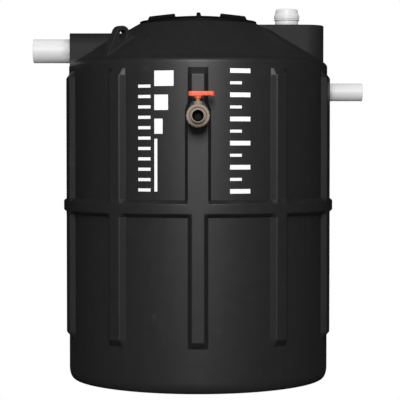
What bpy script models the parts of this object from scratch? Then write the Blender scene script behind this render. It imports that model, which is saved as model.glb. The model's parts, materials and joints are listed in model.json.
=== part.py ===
# Moulded biogas digester: a ribbed plastic tank with its hatch, pipes and sludge valve.
# Metres, +Z up, origin at the centre of the base. Azimuth 0 is the front, at -Y, and grows towards +X.

import math

import bmesh
import bpy
from mathutils import Vector

# Shared fits
SEAT_GAP = 0.0003
MERGE_DISTANCE = 0.00005
SMOOTH_ANGLE = math.radians(35)
SKIN = 0.006
ROUND_STEPS = 64
PIPE_STEPS = 32
VALVE_STEPS = 24
ARCH_STEPS = 16
CORNER_STEPS = 3
THROUGH = 0.020

# Tank floor, wall and shoulder
TANK_RADIUS = 0.545
FLOOR_CORNER_RADIUS = 0.026
WALL_BASE_Z = 0.040
WALL_TOP_Z = 1.300
SHOULDER_Z = 1.320
SHOULDER_SLOPE = math.radians(30.3)
SHOULDER_CORNER_RADIUS = 0.022
SHOULDER_CORNER_STEPS = 4
NECK_FLANGE_RADIUS = 0.252
SHOULDER_SEGMENTS = 8

# Ribs and hoop pressed out of the wall
RIB_COUNT = 10
RELIEF = 0.025
RIB_FACE_HALF = 0.0243
RIB_FOOT_HALF = 0.0400
WIDE_FACE_HALF = 0.0390
WIDE_FOOT_HALF = 0.0505
RIB_FOOT_LOW = 0.180
RIB_FACE_LOW = 0.206
RIB_FACE_HIGH = 1.257
RIB_FOOT_HIGH = 1.281
HOOP_FOOT_LOW = 0.696
HOOP_FACE_LOW = 0.711
HOOP_FACE_HIGH = 0.751
HOOP_FOOT_HIGH = 0.766
WIDE_RIB_TOP = 1.120
NARROW_RIB_START = 1.149
PLAIN_ARC_STEPS = 3
OUTLET_SEAM = math.radians(80)

# Hatch neck and lid
NECK_RADIUS = 0.222
NECK_DEPTH = 0.060
LID_RADIUS = 0.247
LID_RIM_HEIGHT = 0.011
LID_RIM_EDGE = 0.002
LID_DOME_HEIGHT = 0.025
LID_DOME_STEPS = 5
LID_SKIN = 0.006
LID_SPIGOT_CLEARANCE = 0.005
LID_SPIGOT_DEPTH = 0.034
GRIP_COUNT = 6
GRIP_INNER_RADIUS = 0.114
GRIP_OUTER_RADIUS = 0.234
GRIP_END_SLOPE = 0.007
GRIP_HEIGHT = 0.017
GRIP_ROOT = 0.003
GRIP_BASE_WIDTH = 0.024
GRIP_TOP_WIDTH = 0.010

# Inlet boss and pipe, on the left
INLET_Z = 1.380
INLET_BOSS_RADIUS = 0.076
INLET_BOSS_INNER_X = 0.290
INLET_BOSS_BASE_Z = 1.316
INLET_END_SKIN = 0.007
INLET_PIPE_RADIUS = 0.0508
INLET_PIPE_SKIN = 0.0032
INLET_PIPE_END_X = 0.705
INLET_PIPE_INNER_X = 0.430

# Vent tower, pipe and cap, on the right
TOWER_TOP_Z = 1.490
TOWER_HALF_WIDTH = 0.085
TOWER_INNER_X = 0.262
TOWER_OUTER_X = 0.533
BOSS_VOID_BASE_Z = 1.306
VENT_X = 0.379
VENT_PIPE_RADIUS = 0.049
VENT_PIPE_SKIN = 0.003
VENT_PIPE_BASE_Z = 1.320
VENT_BEAD_RADIUS = 0.0555
VENT_BEAD_BASE_Z = 1.503
VENT_SEAM_Z = 1.511
VENT_CAP_BEAD_TOP_Z = 1.526
VENT_CAP_BEAD_EDGE = 0.002
VENT_CAP_BEAD_SLOPE = 0.004
VENT_CAP_TOP_Z = 1.563
VENT_CAP_TAPER = 0.002
VENT_CAP_CROWN_RADIUS = 0.009
VENT_CAP_SPIGOT_CLEARANCE = 0.0015
VENT_CAP_SPIGOT_DEPTH = 0.030

# Outlet pipe, on the right
OUTLET_Z = 1.206
OUTLET_PIPE_RADIUS = 0.03775
OUTLET_PIPE_SKIN = 0.0027
OUTLET_PIPE_END_X = 0.702
OUTLET_PIPE_INNER_X = 0.500

# Lifting lugs, front left and opposite
LUG_AZIMUTHS = {"lifting_lug_front": math.radians(-45), "lifting_lug_rear": math.radians(135)}
LUG_THICKNESS = 0.028
LUG_EYE_R = 0.430
LUG_EYE_Z = 1.428
LUG_EYE_RADIUS = 0.019
LUG_HEAD_RADIUS = 0.0375
LUG_HEAD_STEPS = 14
LUG_EYE_STEPS = 24
LUG_OUTER_FOOT_R = 0.498
LUG_INNER_FOOT_R = 0.368

# Sludge valve on the front rib
VALVE_Z = 1.093
VALVE_STEM_Y = -0.630
STUB_RADIUS = 0.025
STUB_BORE_RADIUS = 0.0212
STUB_INNER_Y = -0.525
NUT_RADIUS = 0.045
NUT_EDGE = 0.003
REAR_NUT_BACK_Y = -0.5705
REAR_NUT_FRONT_Y = -0.598
FRONT_NUT_BACK_Y = -0.662
FRONT_NUT_FRONT_Y = -0.690
TAIL_RADIUS = 0.027
TAIL_BORE_RADIUS = 0.0222
TAIL_END_Y = -0.702
BODY_RADIUS = 0.036
BODY_COLLAR_LENGTH = 0.008
BODY_SWELL = 0.004
BALL_RADIUS = 0.0285
BALL_STEPS = 8
BALL_SOCKET_CLEARANCE = 0.0008
BALL_BORE_RADIUS = 0.0200
NECK_BOSS_RADIUS = 0.0165
NECK_BOSS_TOP_Z = 1.150
NECK_BOSS_ROOT = 0.006
STEM_RADIUS = 0.0080
STEM_CLEARANCE = 0.0005
LEVER_BASE_Z = 1.1555
LEVER_BAR_BASE_Z = 1.166
LEVER_TOP_Z = 1.189
LEVER_LONG_X = 0.064
LEVER_SHORT_X = -0.040
LEVER_DEPTH = 0.026
LEVER_EDGE = 0.003
LEVER_ROOF = 0.010
LEVER_HUB_TOP_RADIUS = 0.013
LEVER_HUB_BASE_RADIUS = 0.0105
LEVER_HUB_ROOT = 0.004


def clear_scene():
    for item in list(bpy.data.objects):
        bpy.data.objects.remove(item, do_unlink=True)


def make_collection(name):
    collection = bpy.data.collections.new(name)
    bpy.context.scene.collection.children.link(collection)
    return collection


def make_material(name, color, roughness, metallic=0.0):
    material = bpy.data.materials.new(name)
    material.use_nodes = True
    shader = material.node_tree.nodes["Principled BSDF"]
    shader.inputs["Base Color"].default_value = (*color, 1.0)
    shader.inputs["Roughness"].default_value = roughness
    shader.inputs["Metallic"].default_value = metallic
    return material


def add_part(name, mesh_data, material, location=(0, 0, 0), rotation=(0, 0, 0), parent=None):
    mesh_data.materials.append(material)
    part = bpy.data.objects.new(name, mesh_data)
    part.location = location
    part.rotation_euler = rotation
    part.parent = parent
    PARTS.objects.link(part)
    return part


def add_cutter(name, mesh_data, location=(0, 0, 0), rotation=(0, 0, 0), parent=None):
    # A form that is taken from a part, or joined to it, and isn't a part itself.
    cutter = bpy.data.objects.new(name, mesh_data)
    cutter.location = location
    cutter.rotation_euler = rotation
    cutter.parent = parent
    cutter.display_type = "WIRE"
    cutter.hide_render = True
    CUTTERS.objects.link(cutter)
    return cutter


def cut(part, cutter, operation="DIFFERENCE"):
    boolean = part.modifiers.new(cutter.name, "BOOLEAN")
    boolean.operation = operation
    boolean.object = cutter
    boolean.solver = "EXACT"


def mesh_from(bm, name, smooth=True):
    bmesh.ops.recalc_face_normals(bm, faces=bm.faces[:])
    mesh_data = bpy.data.meshes.new(name)
    bm.to_mesh(mesh_data)
    bm.free()
    if smooth:
        mesh_data.shade_smooth()
        mesh_data.set_sharp_from_angle(angle=SMOOTH_ANGLE)
    return mesh_data


def turned_mesh(name, profile, closed):
    # The profile runs down its outer side, from top to bottom.
    bm = bmesh.new()
    verts = [bm.verts.new((radius, 0, z)) for radius, z in profile]
    for first, second in zip(verts, verts[1:]):
        bm.edges.new((first, second))
    if closed:
        bm.edges.new((verts[-1], verts[0]))
    mesh_data = bpy.data.meshes.new(name)
    bm.to_mesh(mesh_data)
    bm.free()
    return mesh_data


def turn(part, steps):
    screw = part.modifiers.new("Turn", "SCREW")
    screw.angle = math.tau
    screw.steps = steps
    screw.render_steps = steps
    screw.use_merge_vertices = True
    screw.merge_threshold = MERGE_DISTANCE
    screw.use_smooth_shade = True
    return part


def arc(center, radius, start, end, steps):
    # Points of (r, z) on an arc, angles in radians from +r towards +z.
    points = []
    for step in range(steps + 1):
        angle = start + (end - start) * step / steps
        points.append((center[0] + radius * math.cos(angle), center[1] + radius * math.sin(angle)))
    return points


def on_azimuth(radius, azimuth, z):
    return Vector((radius * math.sin(azimuth), -radius * math.cos(azimuth), z))


def shoulder_height(radius):
    return SHOULDER_Z + (TANK_RADIUS - radius) * math.tan(SHOULDER_SLOPE)


def offset_shoulder(offset):
    # The shoulder's outside line, moved out by an offset: from its foot on the wall to its top edge.
    slope_angle = math.pi / 2 - SHOULDER_SLOPE
    setback = SHOULDER_CORNER_RADIUS * math.tan(slope_angle / 2)
    center = (TANK_RADIUS - SHOULDER_CORNER_RADIUS, SHOULDER_Z - setback)
    line = [(TANK_RADIUS + offset, WALL_TOP_Z + SEAT_GAP)]
    line += arc(center, SHOULDER_CORNER_RADIUS + offset, 0, slope_angle, SHOULDER_CORNER_STEPS)
    line.append((NECK_FLANGE_RADIUS, shoulder_height(NECK_FLANGE_RADIUS) + offset / math.cos(SHOULDER_SLOPE)))
    return line


def make_floor():
    corner_r = TANK_RADIUS - FLOOR_CORNER_RADIUS
    profile = [(0, SKIN), (corner_r, SKIN)]
    center = (corner_r, FLOOR_CORNER_RADIUS)
    profile += arc(center, FLOOR_CORNER_RADIUS - SKIN, -math.pi / 2, 0, CORNER_STEPS)[1:]
    profile += [(TANK_RADIUS - SKIN, WALL_BASE_Z - SEAT_GAP), (TANK_RADIUS, WALL_BASE_Z - SEAT_GAP)]
    profile += arc(center, FLOOR_CORNER_RADIUS, 0, -math.pi / 2, CORNER_STEPS)
    profile.append((0, 0))
    part = add_part("tank_floor", turned_mesh("tank_floor", profile, closed=False), BLACK_PLASTIC)
    return turn(part, ROUND_STEPS)


def ramp(value, start, end):
    return min(1.0, max(0.0, (value - start) / (end - start)))


def rib_half_widths(z, is_front):
    wide = 0.0
    if is_front:
        wide = ramp(z, HOOP_FACE_LOW, HOOP_FACE_HIGH) - ramp(z, WIDE_RIB_TOP, NARROW_RIB_START)
    face = RIB_FACE_HALF + wide * (WIDE_FACE_HALF - RIB_FACE_HALF)
    foot = RIB_FOOT_HALF + wide * (WIDE_FOOT_HALF - RIB_FOOT_HALF)
    return face, foot


def wall_rows(is_front):
    # Each row: height, which way the inner skin's row moves, hoop relief, rib relief.
    rows = [
        (WALL_BASE_Z, 0, 0, 0),
        (RIB_FOOT_LOW, 1, 0, 0),
        (RIB_FACE_LOW, 1, 0, 1),
        (HOOP_FOOT_LOW, 1, 0, 1),
        (HOOP_FACE_LOW, 1, 1, 1),
        (HOOP_FACE_HIGH, -1, 1, 1),
        (HOOP_FOOT_HIGH, -1, 0, 1),
        (RIB_FACE_HIGH, -1, 0, 1),
        (RIB_FOOT_HIGH, -1, 0, 0),
        (WALL_TOP_Z, 0, 0, 0),
    ]
    if is_front:
        rows[7:7] = [(WIDE_RIB_TOP, 0, 0, 1), (NARROW_RIB_START, 0, 0, 1)]
    return rows


def wall_columns(face, foot, low, high):
    # Each column: azimuth from the rib's centre, and its share of the rib's relief.
    columns = []
    for step in range(PLAIN_ARC_STEPS + 1):
        columns.append((low + (-foot - low) * step / PLAIN_ARC_STEPS, 0))
    columns += [(-face, 1), (face, 1)]
    for step in range(PLAIN_ARC_STEPS + 1):
        columns.append((foot + (high - foot) * step / PLAIN_ARC_STEPS, 0))
    return columns


def make_wall_segment(index, center, low, high):
    # A slab of grid cells, bent round the tank and pressed out at the rib and the hoop.
    is_front = index == 0
    rows = wall_rows(is_front)
    column_count = 2 * (PLAIN_ARC_STEPS + 1) + 2
    corner_shift = SKIN * math.tan(math.atan(RELIEF / (RIB_FOOT_HALF - RIB_FACE_HALF)) / 2)
    bm = bmesh.new()
    bmesh.ops.create_grid(bm, x_segments=column_count - 1, y_segments=len(rows) - 1, size=0.5)
    bmesh.ops.solidify(bm, geom=bm.faces[:], thickness=1.0)
    middle = sum(vert.co.z for vert in bm.verts) / len(bm.verts)
    for vert in bm.verts:
        inner = vert.co.z < middle
        column = round((vert.co.x + 0.5) * (column_count - 1))
        z, way, hoop, rib = rows[round((vert.co.y + 0.5) * (len(rows) - 1))]
        face, foot = rib_half_widths(z, is_front)
        if inner:
            face, foot = face - corner_shift, foot - corner_shift
            z = z + way * corner_shift
        side_gap = SEAT_GAP / 2 / TANK_RADIUS
        columns = wall_columns(face / TANK_RADIUS, foot / TANK_RADIUS, low + side_gap, high - side_gap)
        azimuth, share = columns[column]
        radius = TANK_RADIUS + RELIEF * max(share * rib, hoop) - (SKIN if inner else 0)
        vert.co = on_azimuth(radius, center + azimuth, z)
    name = "wall_segment_%02d" % (index + 1)
    return add_part(name, mesh_from(bm, name), BLACK_PLASTIC)


def make_wall():
    pitch = math.tau / RIB_COUNT
    segments = []
    for index in range(RIB_COUNT):
        center = index * pitch
        low, high = -pitch / 2, pitch / 2
        # The seam beside the outlet is moved, so that one segment holds the whole hole.
        if math.isclose(center + high, math.pi / 2):
            high = OUTLET_SEAM - center
        if math.isclose(center + low, math.pi / 2):
            low = OUTLET_SEAM - center
        segments.append(make_wall_segment(index, center, low, high))
    return segments


def make_shoulder():
    segments = []
    outside = offset_shoulder(0)
    inside = list(reversed(offset_shoulder(-SKIN)))
    span = math.tau / SHOULDER_SEGMENTS
    side_gap = SEAT_GAP / 2 / NECK_FLANGE_RADIUS
    for index in range(SHOULDER_SEGMENTS):
        name = "shoulder_segment_%d" % (index + 1)
        bm = bmesh.new()
        start = (index - 0.5) * span + side_gap
        verts = [bm.verts.new(on_azimuth(radius, start, z)) for radius, z in outside + inside]
        bm.faces.new(verts)
        bmesh.ops.spin(
            bm, geom=bm.verts[:] + bm.edges[:] + bm.faces[:], cent=(0, 0, 0), axis=(0, 0, 1),
            angle=span - 2 * side_gap, steps=ROUND_STEPS // SHOULDER_SEGMENTS, use_duplicate=False)
        segments.append(add_part(name, mesh_from(bm, name), BLACK_PLASTIC))
    return segments


def make_neck():
    top = shoulder_height(NECK_FLANGE_RADIUS)
    flange_r = NECK_FLANGE_RADIUS - SEAT_GAP
    profile = [
        (NECK_RADIUS, top),
        (flange_r, top),
        (flange_r, top - SKIN),
        (NECK_RADIUS + SKIN, top - SKIN),
        (NECK_RADIUS + SKIN, top - NECK_DEPTH),
        (NECK_RADIUS, top - NECK_DEPTH),
    ]
    part = add_part("hatch_neck", turned_mesh("hatch_neck", profile, closed=True), BLACK_PLASTIC)
    return turn(part, ROUND_STEPS)


def lid_dome(radius, base_z, rise, steps):
    # A shallow circular cap, from the axis out to its rim.
    sphere = (radius ** 2 + rise ** 2) / (2 * rise)
    spread = math.asin(radius / sphere)
    center = (0, base_z + rise - sphere)
    return arc(center, sphere, math.pi / 2, math.pi / 2 - spread, steps)


def make_lid():
    seat = shoulder_height(NECK_FLANGE_RADIUS) + SEAT_GAP
    rim_top = seat + LID_RIM_HEIGHT
    spigot_r = NECK_RADIUS - LID_SPIGOT_CLEARANCE
    outside = lid_dome(LID_RADIUS - LID_RIM_EDGE, rim_top, LID_DOME_HEIGHT, LID_DOME_STEPS)
    inside_r = spigot_r - LID_SKIN
    inside = lid_dome(inside_r, seat + LID_SKIN, LID_DOME_HEIGHT - LID_SKIN, CORNER_STEPS)
    profile = outside + [
        (LID_RADIUS, rim_top - LID_RIM_EDGE),
        (LID_RADIUS, seat),
        (spigot_r, seat),
        (spigot_r, seat - LID_SPIGOT_DEPTH),
        (inside_r, seat - LID_SPIGOT_DEPTH),
    ] + list(reversed(inside))
    profile[0] = (0, profile[0][1])
    profile[-1] = (0, profile[-1][1])
    lid = add_part("hatch_lid", turned_mesh("hatch_lid", profile, closed=False), LID_PLASTIC)
    turn(lid, ROUND_STEPS)
    for index in range(GRIP_COUNT):
        cut(lid, make_grip(index, rim_top), "UNION")
    return lid


def make_grip(index, rim_top):
    # A radial ridge with tapered sides and sloped ends, sunk into the dome under it.
    bm = bmesh.new()
    bmesh.ops.create_cube(bm, size=1.0)
    middle = (GRIP_INNER_RADIUS + GRIP_OUTER_RADIUS) / 2
    length = GRIP_OUTER_RADIUS - GRIP_INNER_RADIUS
    for vert in bm.verts:
        top = vert.co.z > 0
        along = length / 2 - (GRIP_END_SLOPE if top else 0)
        width = GRIP_TOP_WIDTH if top else GRIP_BASE_WIDTH
        radius = middle + math.copysign(along, vert.co.x)
        crown = rim_top + LID_DOME_HEIGHT * (1 - (radius / LID_RADIUS) ** 2)
        z = crown + GRIP_HEIGHT if top else rim_top - GRIP_ROOT
        vert.co = (radius, math.copysign(width / 2, vert.co.y), z)
    name = "grip_%d" % (index + 1)
    azimuth = math.tau * index / GRIP_COUNT
    return add_cutter(name, mesh_from(bm, name, smooth=False), rotation=(0, 0, azimuth - math.pi / 2))


def under_shoulder():
    # Everything below the shoulder's skin and inside the wall line.
    outside = list(reversed(offset_shoulder(SEAT_GAP)))
    low = WALL_TOP_Z - THROUGH
    profile = [(0, outside[0][1])] + outside + [(TANK_RADIUS + SEAT_GAP, low), (0, low)]
    return turned_cutter("under_shoulder", profile)


def turned_cutter(name, profile):
    return turn(add_cutter(name, turned_mesh(name, profile, closed=False)), ROUND_STEPS)


def wall_line():
    # A drum of the tank's radius, which trims what stands on the shoulder.
    profile = [(0, TOWER_TOP_Z + THROUGH), (TANK_RADIUS, TOWER_TOP_Z + THROUGH)]
    profile += [(TANK_RADIUS, WALL_TOP_Z), (0, WALL_TOP_Z)]
    return turned_cutter("wall_line", profile)


def prism(name, outline, depth_axis, low, high):
    # A flat outline drawn out along X or Z, between two planes.
    bm = bmesh.new()
    verts = []
    for first, second in outline:
        verts.append(bm.verts.new((low, first, second) if depth_axis == "X" else (first, second, low)))
    face = bm.faces.new(verts)
    drawn = bmesh.ops.extrude_face_region(bm, geom=[face], use_keep_orig=True)
    moved = [item for item in drawn["geom"] if isinstance(item, bmesh.types.BMVert)]
    way = Vector((1, 0, 0)) if depth_axis == "X" else Vector((0, 0, 1))
    bmesh.ops.translate(bm, vec=way * (high - low), verts=moved)
    return mesh_from(bm, name)


def arch_outline(radius, base_z):
    return arc((0, INLET_Z), radius, 0, math.pi, ARCH_STEPS) + [(-radius, base_z), (radius, base_z)]


def tower_outline(inset):
    # Straight sides, with a round outer end.
    half = TOWER_HALF_WIDTH - inset
    end_x = TOWER_OUTER_X - TOWER_HALF_WIDTH
    outer_end = arc((end_x, 0), half, -math.pi / 2, math.pi / 2, ARCH_STEPS)
    return [(TOWER_INNER_X + inset, -half)] + outer_end + [(TOWER_INNER_X + inset, half)]


def round_cutter(name, radius, length, location, rotation=(0, 0, 0), parent=None):
    bm = bmesh.new()
    bmesh.ops.create_cone(
        bm, cap_ends=True, segments=PIPE_STEPS, radius1=radius, radius2=radius, depth=length)
    return add_cutter(name, mesh_from(bm, name), location, rotation, parent)


def make_inlet_boss(shoulder, skin_below, drum):
    name = "inlet_boss"
    outline = arch_outline(INLET_BOSS_RADIUS, INLET_BOSS_BASE_Z)
    far_x = -TANK_RADIUS - THROUGH
    boss = add_part(name, prism(name, outline, "X", far_x, -INLET_BOSS_INNER_X), BLACK_PLASTIC)
    cut(boss, drum, "INTERSECT")
    void_outline = arch_outline(INLET_BOSS_RADIUS - SKIN, BOSS_VOID_BASE_Z)
    void_end = -TANK_RADIUS + INLET_END_SKIN
    void = add_cutter("inlet_void", prism("inlet_void", void_outline, "X", void_end, -INLET_BOSS_INNER_X))
    cut(boss, void)
    cut(boss, skin_below)
    cut(shoulder[6], void)
    hole_r = INLET_PIPE_RADIUS + SEAT_GAP
    hole = round_cutter("inlet_hole", hole_r, 4 * THROUGH, (-TANK_RADIUS, 0, INLET_Z), (0, math.pi / 2, 0))
    cut(boss, hole)
    return boss


def make_vent_tower(shoulder, skin_below):
    name = "vent_tower"
    tower = add_part(name, prism(name, tower_outline(0), "Z", WALL_TOP_Z, TOWER_TOP_Z), BLACK_PLASTIC)
    void_mesh = prism("tower_void", tower_outline(SKIN), "Z", BOSS_VOID_BASE_Z, TOWER_TOP_Z - SKIN)
    void = add_cutter("tower_void", void_mesh)
    cut(tower, void)
    cut(tower, skin_below)
    cut(shoulder[2], void)
    hole_r = VENT_PIPE_RADIUS + SEAT_GAP
    cut(tower, round_cutter("vent_hole", hole_r, 2 * THROUGH, (VENT_X, 0, TOWER_TOP_Z)))
    return tower


def make_pipe(name, radius, bore_radius, length, location, rotation, material):
    profile = [(bore_radius, length), (radius, length), (radius, 0), (bore_radius, 0)]
    pipe = add_part(name, turned_mesh(name, profile, closed=True), material, location, rotation)
    return turn(pipe, PIPE_STEPS)


def make_side_pipes(wall):
    length = INLET_PIPE_END_X - INLET_PIPE_INNER_X
    make_pipe(
        "inlet_pipe", INLET_PIPE_RADIUS, INLET_PIPE_RADIUS - INLET_PIPE_SKIN, length,
        (-INLET_PIPE_INNER_X, 0, INLET_Z), (0, -math.pi / 2, 0), WHITE_PVC)
    length = OUTLET_PIPE_END_X - OUTLET_PIPE_INNER_X
    make_pipe(
        "outlet_pipe", OUTLET_PIPE_RADIUS, OUTLET_PIPE_RADIUS - OUTLET_PIPE_SKIN, length,
        (OUTLET_PIPE_INNER_X, 0, OUTLET_Z), (0, math.pi / 2, 0), WHITE_PVC)
    hole_r = OUTLET_PIPE_RADIUS + SEAT_GAP
    hole = round_cutter("outlet_hole", hole_r, 6 * THROUGH, (TANK_RADIUS, 0, OUTLET_Z), (0, math.pi / 2, 0))
    cut(wall[3], hole)


def make_vent_pipe():
    bore = VENT_PIPE_RADIUS - VENT_PIPE_SKIN
    bead_mid = (VENT_BEAD_BASE_Z + VENT_SEAM_Z) / 2
    profile = [
        (bore, VENT_SEAM_Z),
        (VENT_BEAD_RADIUS, VENT_SEAM_Z),
        (VENT_BEAD_RADIUS, bead_mid),
        (VENT_PIPE_RADIUS, VENT_BEAD_BASE_Z),
        (VENT_PIPE_RADIUS, VENT_PIPE_BASE_Z),
        (bore, VENT_PIPE_BASE_Z),
    ]
    pipe = add_part("vent_pipe", turned_mesh("vent_pipe", profile, closed=True), WHITE_PVC, (VENT_X, 0, 0))
    return turn(pipe, PIPE_STEPS)


def make_vent_cap():
    seat = SEAT_GAP
    spigot_r = VENT_PIPE_RADIUS - VENT_PIPE_SKIN - VENT_CAP_SPIGOT_CLEARANCE
    inner_r = spigot_r - VENT_PIPE_SKIN
    bead_top = VENT_CAP_BEAD_TOP_Z - VENT_SEAM_Z
    top = VENT_CAP_TOP_Z - VENT_SEAM_Z
    crown_r = VENT_CAP_CROWN_RADIUS
    crown_center = (VENT_PIPE_RADIUS - VENT_CAP_TAPER - crown_r, top - crown_r)
    profile = [(0, top)]
    profile += arc(crown_center, crown_r, math.pi / 2, 0, CORNER_STEPS)
    profile += [
        (VENT_PIPE_RADIUS, bead_top + VENT_CAP_BEAD_SLOPE),
        (VENT_BEAD_RADIUS, bead_top - VENT_CAP_BEAD_EDGE),
        (VENT_BEAD_RADIUS, seat),
        (spigot_r, seat),
        (spigot_r, -VENT_CAP_SPIGOT_DEPTH),
        (inner_r, -VENT_CAP_SPIGOT_DEPTH),
        (inner_r, top - 2 * VENT_PIPE_SKIN),
        (0, top - VENT_PIPE_SKIN),
    ]
    cap = add_part(
        "vent_cap", turned_mesh("vent_cap", profile, closed=False), WHITE_PVC, (VENT_X, 0, VENT_SEAM_Z))
    return turn(cap, PIPE_STEPS)


def tangent_direction(point, center, radius, side):
    # The direction, seen from a circle's center, of the place where a line from a point touches it.
    away = Vector(point) - Vector(center)
    return math.atan2(away.y, away.x) + math.acos(radius / away.length) * side


def make_lug(name, azimuth):
    # A flat plate on the tank's radius, with a round head and an eye through it.
    eye = (LUG_EYE_R, LUG_EYE_Z)
    foot_gap = SEAT_GAP / math.cos(SHOULDER_SLOPE)
    outer_foot = (LUG_OUTER_FOOT_R, shoulder_height(LUG_OUTER_FOOT_R) + foot_gap)
    inner_foot = (LUG_INNER_FOOT_R, shoulder_height(LUG_INNER_FOOT_R) + foot_gap)
    start = tangent_direction(outer_foot, eye, LUG_HEAD_RADIUS, 1)
    end = tangent_direction(inner_foot, eye, LUG_HEAD_RADIUS, -1) % math.tau
    outline = [outer_foot] + arc(eye, LUG_HEAD_RADIUS, start, end, LUG_HEAD_STEPS) + [inner_foot]
    curve = bpy.data.curves.new(name, "CURVE")
    curve.dimensions = "2D"
    curve.fill_mode = "BOTH"
    curve.extrude = LUG_THICKNESS / 2
    hole = arc(eye, LUG_EYE_RADIUS, 0, math.tau, LUG_EYE_STEPS)[:-1]
    for points in (outline, hole):
        spline = curve.splines.new("POLY")
        spline.points.add(len(points) - 1)
        spline.use_cyclic_u = True
        for point, (radius, z) in zip(spline.points, points):
            point.co = (radius, z, 0, 1)
    # The outline lies in the local XY plane and is stood up on its azimuth.
    return add_part(name, curve, BLACK_PLASTIC, rotation=(math.pi / 2, 0, azimuth - math.pi / 2))


def facing_front(name, profile):
    # Turned about the valve's bore: the profile's height is the distance forward, along -Y.
    mesh_data = turned_mesh(name, profile, closed=True)
    return turn(add_part(name, mesh_data, BROWN_PVC, (0, 0, VALVE_Z), (math.pi / 2, 0, 0)), VALVE_STEPS)


def make_valve_fixed(wall):
    stub_length = STUB_INNER_Y - REAR_NUT_FRONT_Y
    make_pipe(
        "valve_stub", STUB_RADIUS, STUB_BORE_RADIUS, stub_length, (0, STUB_INNER_Y, VALVE_Z),
        (math.pi / 2, 0, 0), BROWN_PVC)
    hole = round_cutter(
        "stub_hole", STUB_RADIUS + SEAT_GAP, 4 * THROUGH, (0, -TANK_RADIUS, VALVE_Z), (math.pi / 2, 0, 0))
    cut(wall[0], hole)
    make_nut("valve_rear_nut", STUB_RADIUS + SEAT_GAP, -REAR_NUT_BACK_Y, -REAR_NUT_FRONT_Y)
    make_nut("valve_front_nut", TAIL_RADIUS + SEAT_GAP, -FRONT_NUT_BACK_Y, -FRONT_NUT_FRONT_Y)
    make_valve_body()
    make_pipe(
        "valve_tail", TAIL_RADIUS, TAIL_BORE_RADIUS, FRONT_NUT_BACK_Y - TAIL_END_Y,
        (0, FRONT_NUT_BACK_Y, VALVE_Z), (math.pi / 2, 0, 0), BROWN_PVC)


def make_nut(name, bore_radius, back, front):
    profile = [
        (bore_radius, front),
        (NUT_RADIUS - NUT_EDGE, front),
        (NUT_RADIUS, front - NUT_EDGE),
        (NUT_RADIUS, back),
        (bore_radius, back),
    ]
    return facing_front(name, profile)


def ball_arc(radius, bore_radius):
    # A ball's outline beside its bore, from one mouth of the bore to the other.
    reach = math.acos(bore_radius / radius)
    return arc((0, 0), radius, reach, -reach, BALL_STEPS)


def make_valve_body():
    back = -REAR_NUT_FRONT_Y + SEAT_GAP
    front = -FRONT_NUT_BACK_Y - SEAT_GAP
    collar = BODY_COLLAR_LENGTH
    swell_r = BODY_RADIUS + BODY_SWELL
    profile = [
        (STUB_BORE_RADIUS, front),
        (BODY_RADIUS, front),
        (BODY_RADIUS, front - collar),
        (swell_r, front - 2 * collar),
        (swell_r, back + 2 * collar),
        (BODY_RADIUS, back + collar),
        (BODY_RADIUS, back),
        (STUB_BORE_RADIUS, back),
    ]
    socket = ball_arc(BALL_RADIUS + BALL_SOCKET_CLEARANCE, STUB_BORE_RADIUS)
    profile += [(radius, height - VALVE_STEM_Y) for radius, height in reversed(socket)]
    body = facing_front("valve_body", profile)
    boss_base_z = VALVE_Z + BODY_RADIUS - NECK_BOSS_ROOT
    boss_length = NECK_BOSS_TOP_Z - boss_base_z
    boss_at = (0, VALVE_STEM_Y, boss_base_z + boss_length / 2)
    cut(body, round_cutter("neck_boss", NECK_BOSS_RADIUS, boss_length, boss_at), "UNION")
    hole_length = NECK_BOSS_TOP_Z + THROUGH - VALVE_Z
    hole_at = (0, VALVE_STEM_Y, VALVE_Z + hole_length / 2)
    cut(body, round_cutter("stem_hole", STEM_RADIUS + STEM_CLEARANCE, hole_length, hole_at))
    return body


def make_valve_moving():
    pivot = bpy.data.objects.new("lever_pivot", None)
    pivot.location = (0, VALVE_STEM_Y, VALVE_Z)
    PARTS.objects.link(pivot)
    make_ball(pivot)
    make_stem(pivot)
    make_lever(pivot)


def make_ball(pivot):
    # Closed at rest: the ball's bore lies across the valve's.
    profile = ball_arc(BALL_RADIUS, BALL_BORE_RADIUS)
    mesh_data = turned_mesh("valve_ball", profile, closed=True)
    ball = add_part("valve_ball", mesh_data, BROWN_PVC, rotation=(0, math.pi / 2, 0), parent=pivot)
    return turn(ball, VALVE_STEPS)


def make_stem(pivot):
    base = BALL_RADIUS + SEAT_GAP
    top = LEVER_TOP_Z - LEVER_ROOF - VALVE_Z
    profile = [(0, top), (STEM_RADIUS, top), (STEM_RADIUS, base), (0, base)]
    stem = add_part("valve_stem", turned_mesh("valve_stem", profile, closed=False), BROWN_PVC, parent=pivot)
    return turn(stem, PIPE_STEPS // 2)


def make_lever(pivot):
    bar_base = LEVER_BAR_BASE_Z - VALVE_Z
    bar_height = LEVER_TOP_Z - LEVER_BAR_BASE_Z
    bm = bmesh.new()
    bmesh.ops.create_cube(bm, size=1.0)
    for vert in bm.verts:
        x = LEVER_LONG_X if vert.co.x > 0 else LEVER_SHORT_X
        z = bar_base + bar_height * (vert.co.z + 0.5)
        vert.co = (x, vert.co.y * LEVER_DEPTH, z)
    bmesh.ops.bevel(bm, geom=bm.edges[:], offset=LEVER_EDGE, segments=1, affect="EDGES")
    lever = add_part("valve_lever", mesh_from(bm, "valve_lever", smooth=False), ORANGE_PLASTIC, parent=pivot)
    cut(lever, make_lever_hub(pivot), "UNION")
    base = LEVER_BASE_Z - THROUGH
    top = LEVER_TOP_Z - LEVER_ROOF + SEAT_GAP
    socket_at = (0, 0, (top + base) / 2 - VALVE_Z)
    cut(lever, round_cutter("stem_socket", STEM_RADIUS + SEAT_GAP, top - base, socket_at, parent=pivot))
    return lever


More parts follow.
